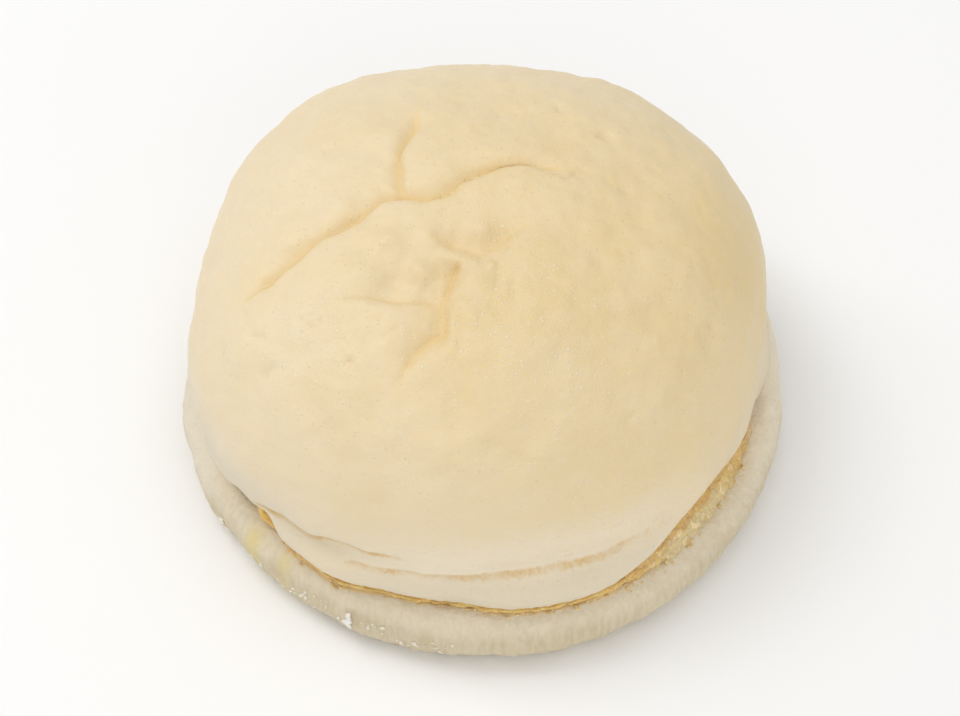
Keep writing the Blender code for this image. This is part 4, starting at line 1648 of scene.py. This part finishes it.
def crumb_trails(form: BunForm) -> tuple[CrumbTrail, ...]:
    """The kinds of loose crumb on the bun."""

    def on_base(radius: float, angle: float, lift: float) -> tuple[float, float]:
        """A place just over the base's upper face."""
        return radius, float(form.base_surface(np.array(radius), np.array(angle))) + lift

    def in_slit(chance: np.random.Generator, angle: float) -> tuple[float, float]:
        """On the base's rim, just under the lip's edge."""
        radius = float(form.lip_radius(np.array(angle))) + chance.uniform(-0.9, 0.1) * MM
        return on_base(radius, angle, 0.12 * MM)

    def at_gape(chance: np.random.Generator, angle: float) -> tuple[float, float]:
        """On the torn slope and just outside it."""
        lip = float(form.lip_radius(np.array(angle)))
        radius = lip + chance.uniform(0.2, 1.15) * (float(form.slope_toe(np.array(angle))) - lip)
        return on_base(radius, angle, chance.uniform(0.0, 0.5) * MM)

    def at_foot(chance: np.random.Generator, angle: float) -> tuple[float, float]:
        """On the lower part of the base's side."""
        height = chance.uniform(0.8, 7.5) * MM
        return float(form.side_radius(np.array(height), np.array(angle))) + 0.05 * MM, height

    golden = CrumbFinish("golden_crumb", (0.76, 0.52, 0.22), (0.88, 0.70, 0.38))
    white = CrumbFinish("white_crumb", (0.82, 0.76, 0.63), (0.90, 0.86, 0.77))
    return (
        CrumbTrail(
            name="slit_crumbs",
            slot="custard",
            finish=golden,
            ends=(-134, -50),
            count=90,
            largest=0.8 * MM,
            flatness=0.5,
            seed=3,
            place=in_slit,
        ),
        CrumbTrail(
            name="gape_crumbs",
            slot="custard",
            finish=golden,
            ends=(-62, -22),
            count=60,
            largest=1.0 * MM,
            flatness=0.55,
            seed=5,
            place=at_gape,
        ),
        CrumbTrail(
            name="foot_crumbs",
            slot="bread_base",
            finish=white,
            ends=(-152, -95),
            count=110,
            largest=1.0 * MM,
            flatness=0.5,
            seed=8,
            place=at_foot,
        ),
    )


# --------------------------------------------------------------------------------------------------------
# Floor, light and camera


@dataclass(frozen=True)
class Softbox:
    """A square area light: its name, its place, its side, its power in watts and its colour."""

    name: str
    place: tuple[float, float, float]
    side: float
    power: float
    colour: Colour


@dataclass
class Studio:
    """A plain pale floor, soft light and the camera."""

    floor_side: float = 6.0
    floor_drop: float = 0.1 * MM
    floor_colour: Colour = (0.96, 0.96, 0.96)
    sky_colour: Colour = (1.0, 1.0, 1.0)
    camera_elevation: float = math.radians(55)
    camera_distance: float = 0.45
    lens_mm: float = 104.7
    sensor_mm: float = 36
    shift: tuple[float, float] = (-0.0034, 0.0539)
    sky: float = 0.60
    softboxes: tuple[Softbox, ...] = field(
        default_factory=lambda: (
            Softbox("key", (-0.42, 0.16, 0.86), 0.4, 2.15, (1.0, 0.99, 0.975)),
            Softbox("overhead", (0.0, 0.0, 1.1), 1.0, 1.9, (1.0, 1.0, 0.99)),
            Softbox("front_fill", (0.12, -0.9, 0.5), 0.8, 1.35, (1.0, 0.995, 0.98)),
            Softbox("right_fill", (0.8, -0.6, 0.35), 0.6, 0.6, (1.0, 0.995, 0.98)),
            Softbox("side_gleam", (-0.85, 0.37, 0.55), 0.2, 0.6, (1.0, 0.995, 0.985)),
        )
    )

    def build(self) -> None:
        """Sets up everything round the bun."""
        self.floor()
        self.world()
        for softbox in self.softboxes:
            self.light(softbox)
        self.camera()
        bpy.context.scene.view_settings.view_transform = "Standard"

    def floor(self) -> None:
        """A plain pale floor just under the bun."""
        deselect_all()
        bpy.ops.mesh.primitive_plane_add(size=self.floor_side, location=(0, 0, -self.floor_drop))
        floor = bpy.context.object
        floor.name = "floor"
        graph = Graph("pale_floor")
        floor.data.materials.append(graph.finish(base_color=self.floor_colour, roughness=0.9))

    def world(self) -> None:
        """Even soft light from all round."""
        world = bpy.data.worlds.new("soft_room")
        world.use_nodes = True
        background = world.node_tree.nodes["Background"]
        background.inputs["Color"].default_value = (*self.sky_colour, 1)
        background.inputs["Strength"].default_value = self.sky
        bpy.context.scene.world = world

    @staticmethod
    def light(softbox: Softbox) -> None:
        """One softbox, turned to the bun."""
        lamp = bpy.data.lights.new(softbox.name, "AREA")
        lamp.shape = "SQUARE"
        lamp.size = softbox.side
        lamp.energy = softbox.power
        lamp.color = softbox.colour
        obj = bpy.data.objects.new(softbox.name, lamp)
        place = Vector(softbox.place)
        facing = (-place).to_track_quat("-Z", "Y").to_matrix().to_4x4()
        obj.matrix_world = Matrix.Translation(place) @ facing
        bpy.context.scene.collection.objects.link(obj)

    def camera(self) -> None:
        """A long lens, looking down at the bun's middle."""
        lens = bpy.data.cameras.new("camera")
        lens.lens = self.lens_mm
        lens.sensor_width = self.sensor_mm
        lens.shift_x, lens.shift_y = self.shift
        lens.clip_start = 0.01
        camera = bpy.data.objects.new("camera", lens)
        up = self.camera_distance * math.sin(self.camera_elevation)
        back = self.camera_distance * math.cos(self.camera_elevation)
        camera.location = (0, -back, up)
        camera.rotation_euler = (math.pi / 2 - self.camera_elevation, 0, 0)
        bpy.context.scene.collection.objects.link(camera)
        bpy.context.scene.camera = camera


def main() -> None:
    """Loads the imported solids, builds every piece round them and sets the scene."""
    logging.basicConfig(level=logging.INFO, format="%(name)s: %(message)s")
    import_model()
    form = BunForm()
    BreadBase(form).build()
    CustardLayer(form).build()
    BreadTop(form).build()
    CustardDrop().build()
    TornFlake(form).build()
    for trail in crumb_trails(form):
        trail.build()
    Studio().build()


if __name__ == "__main__":
    main()
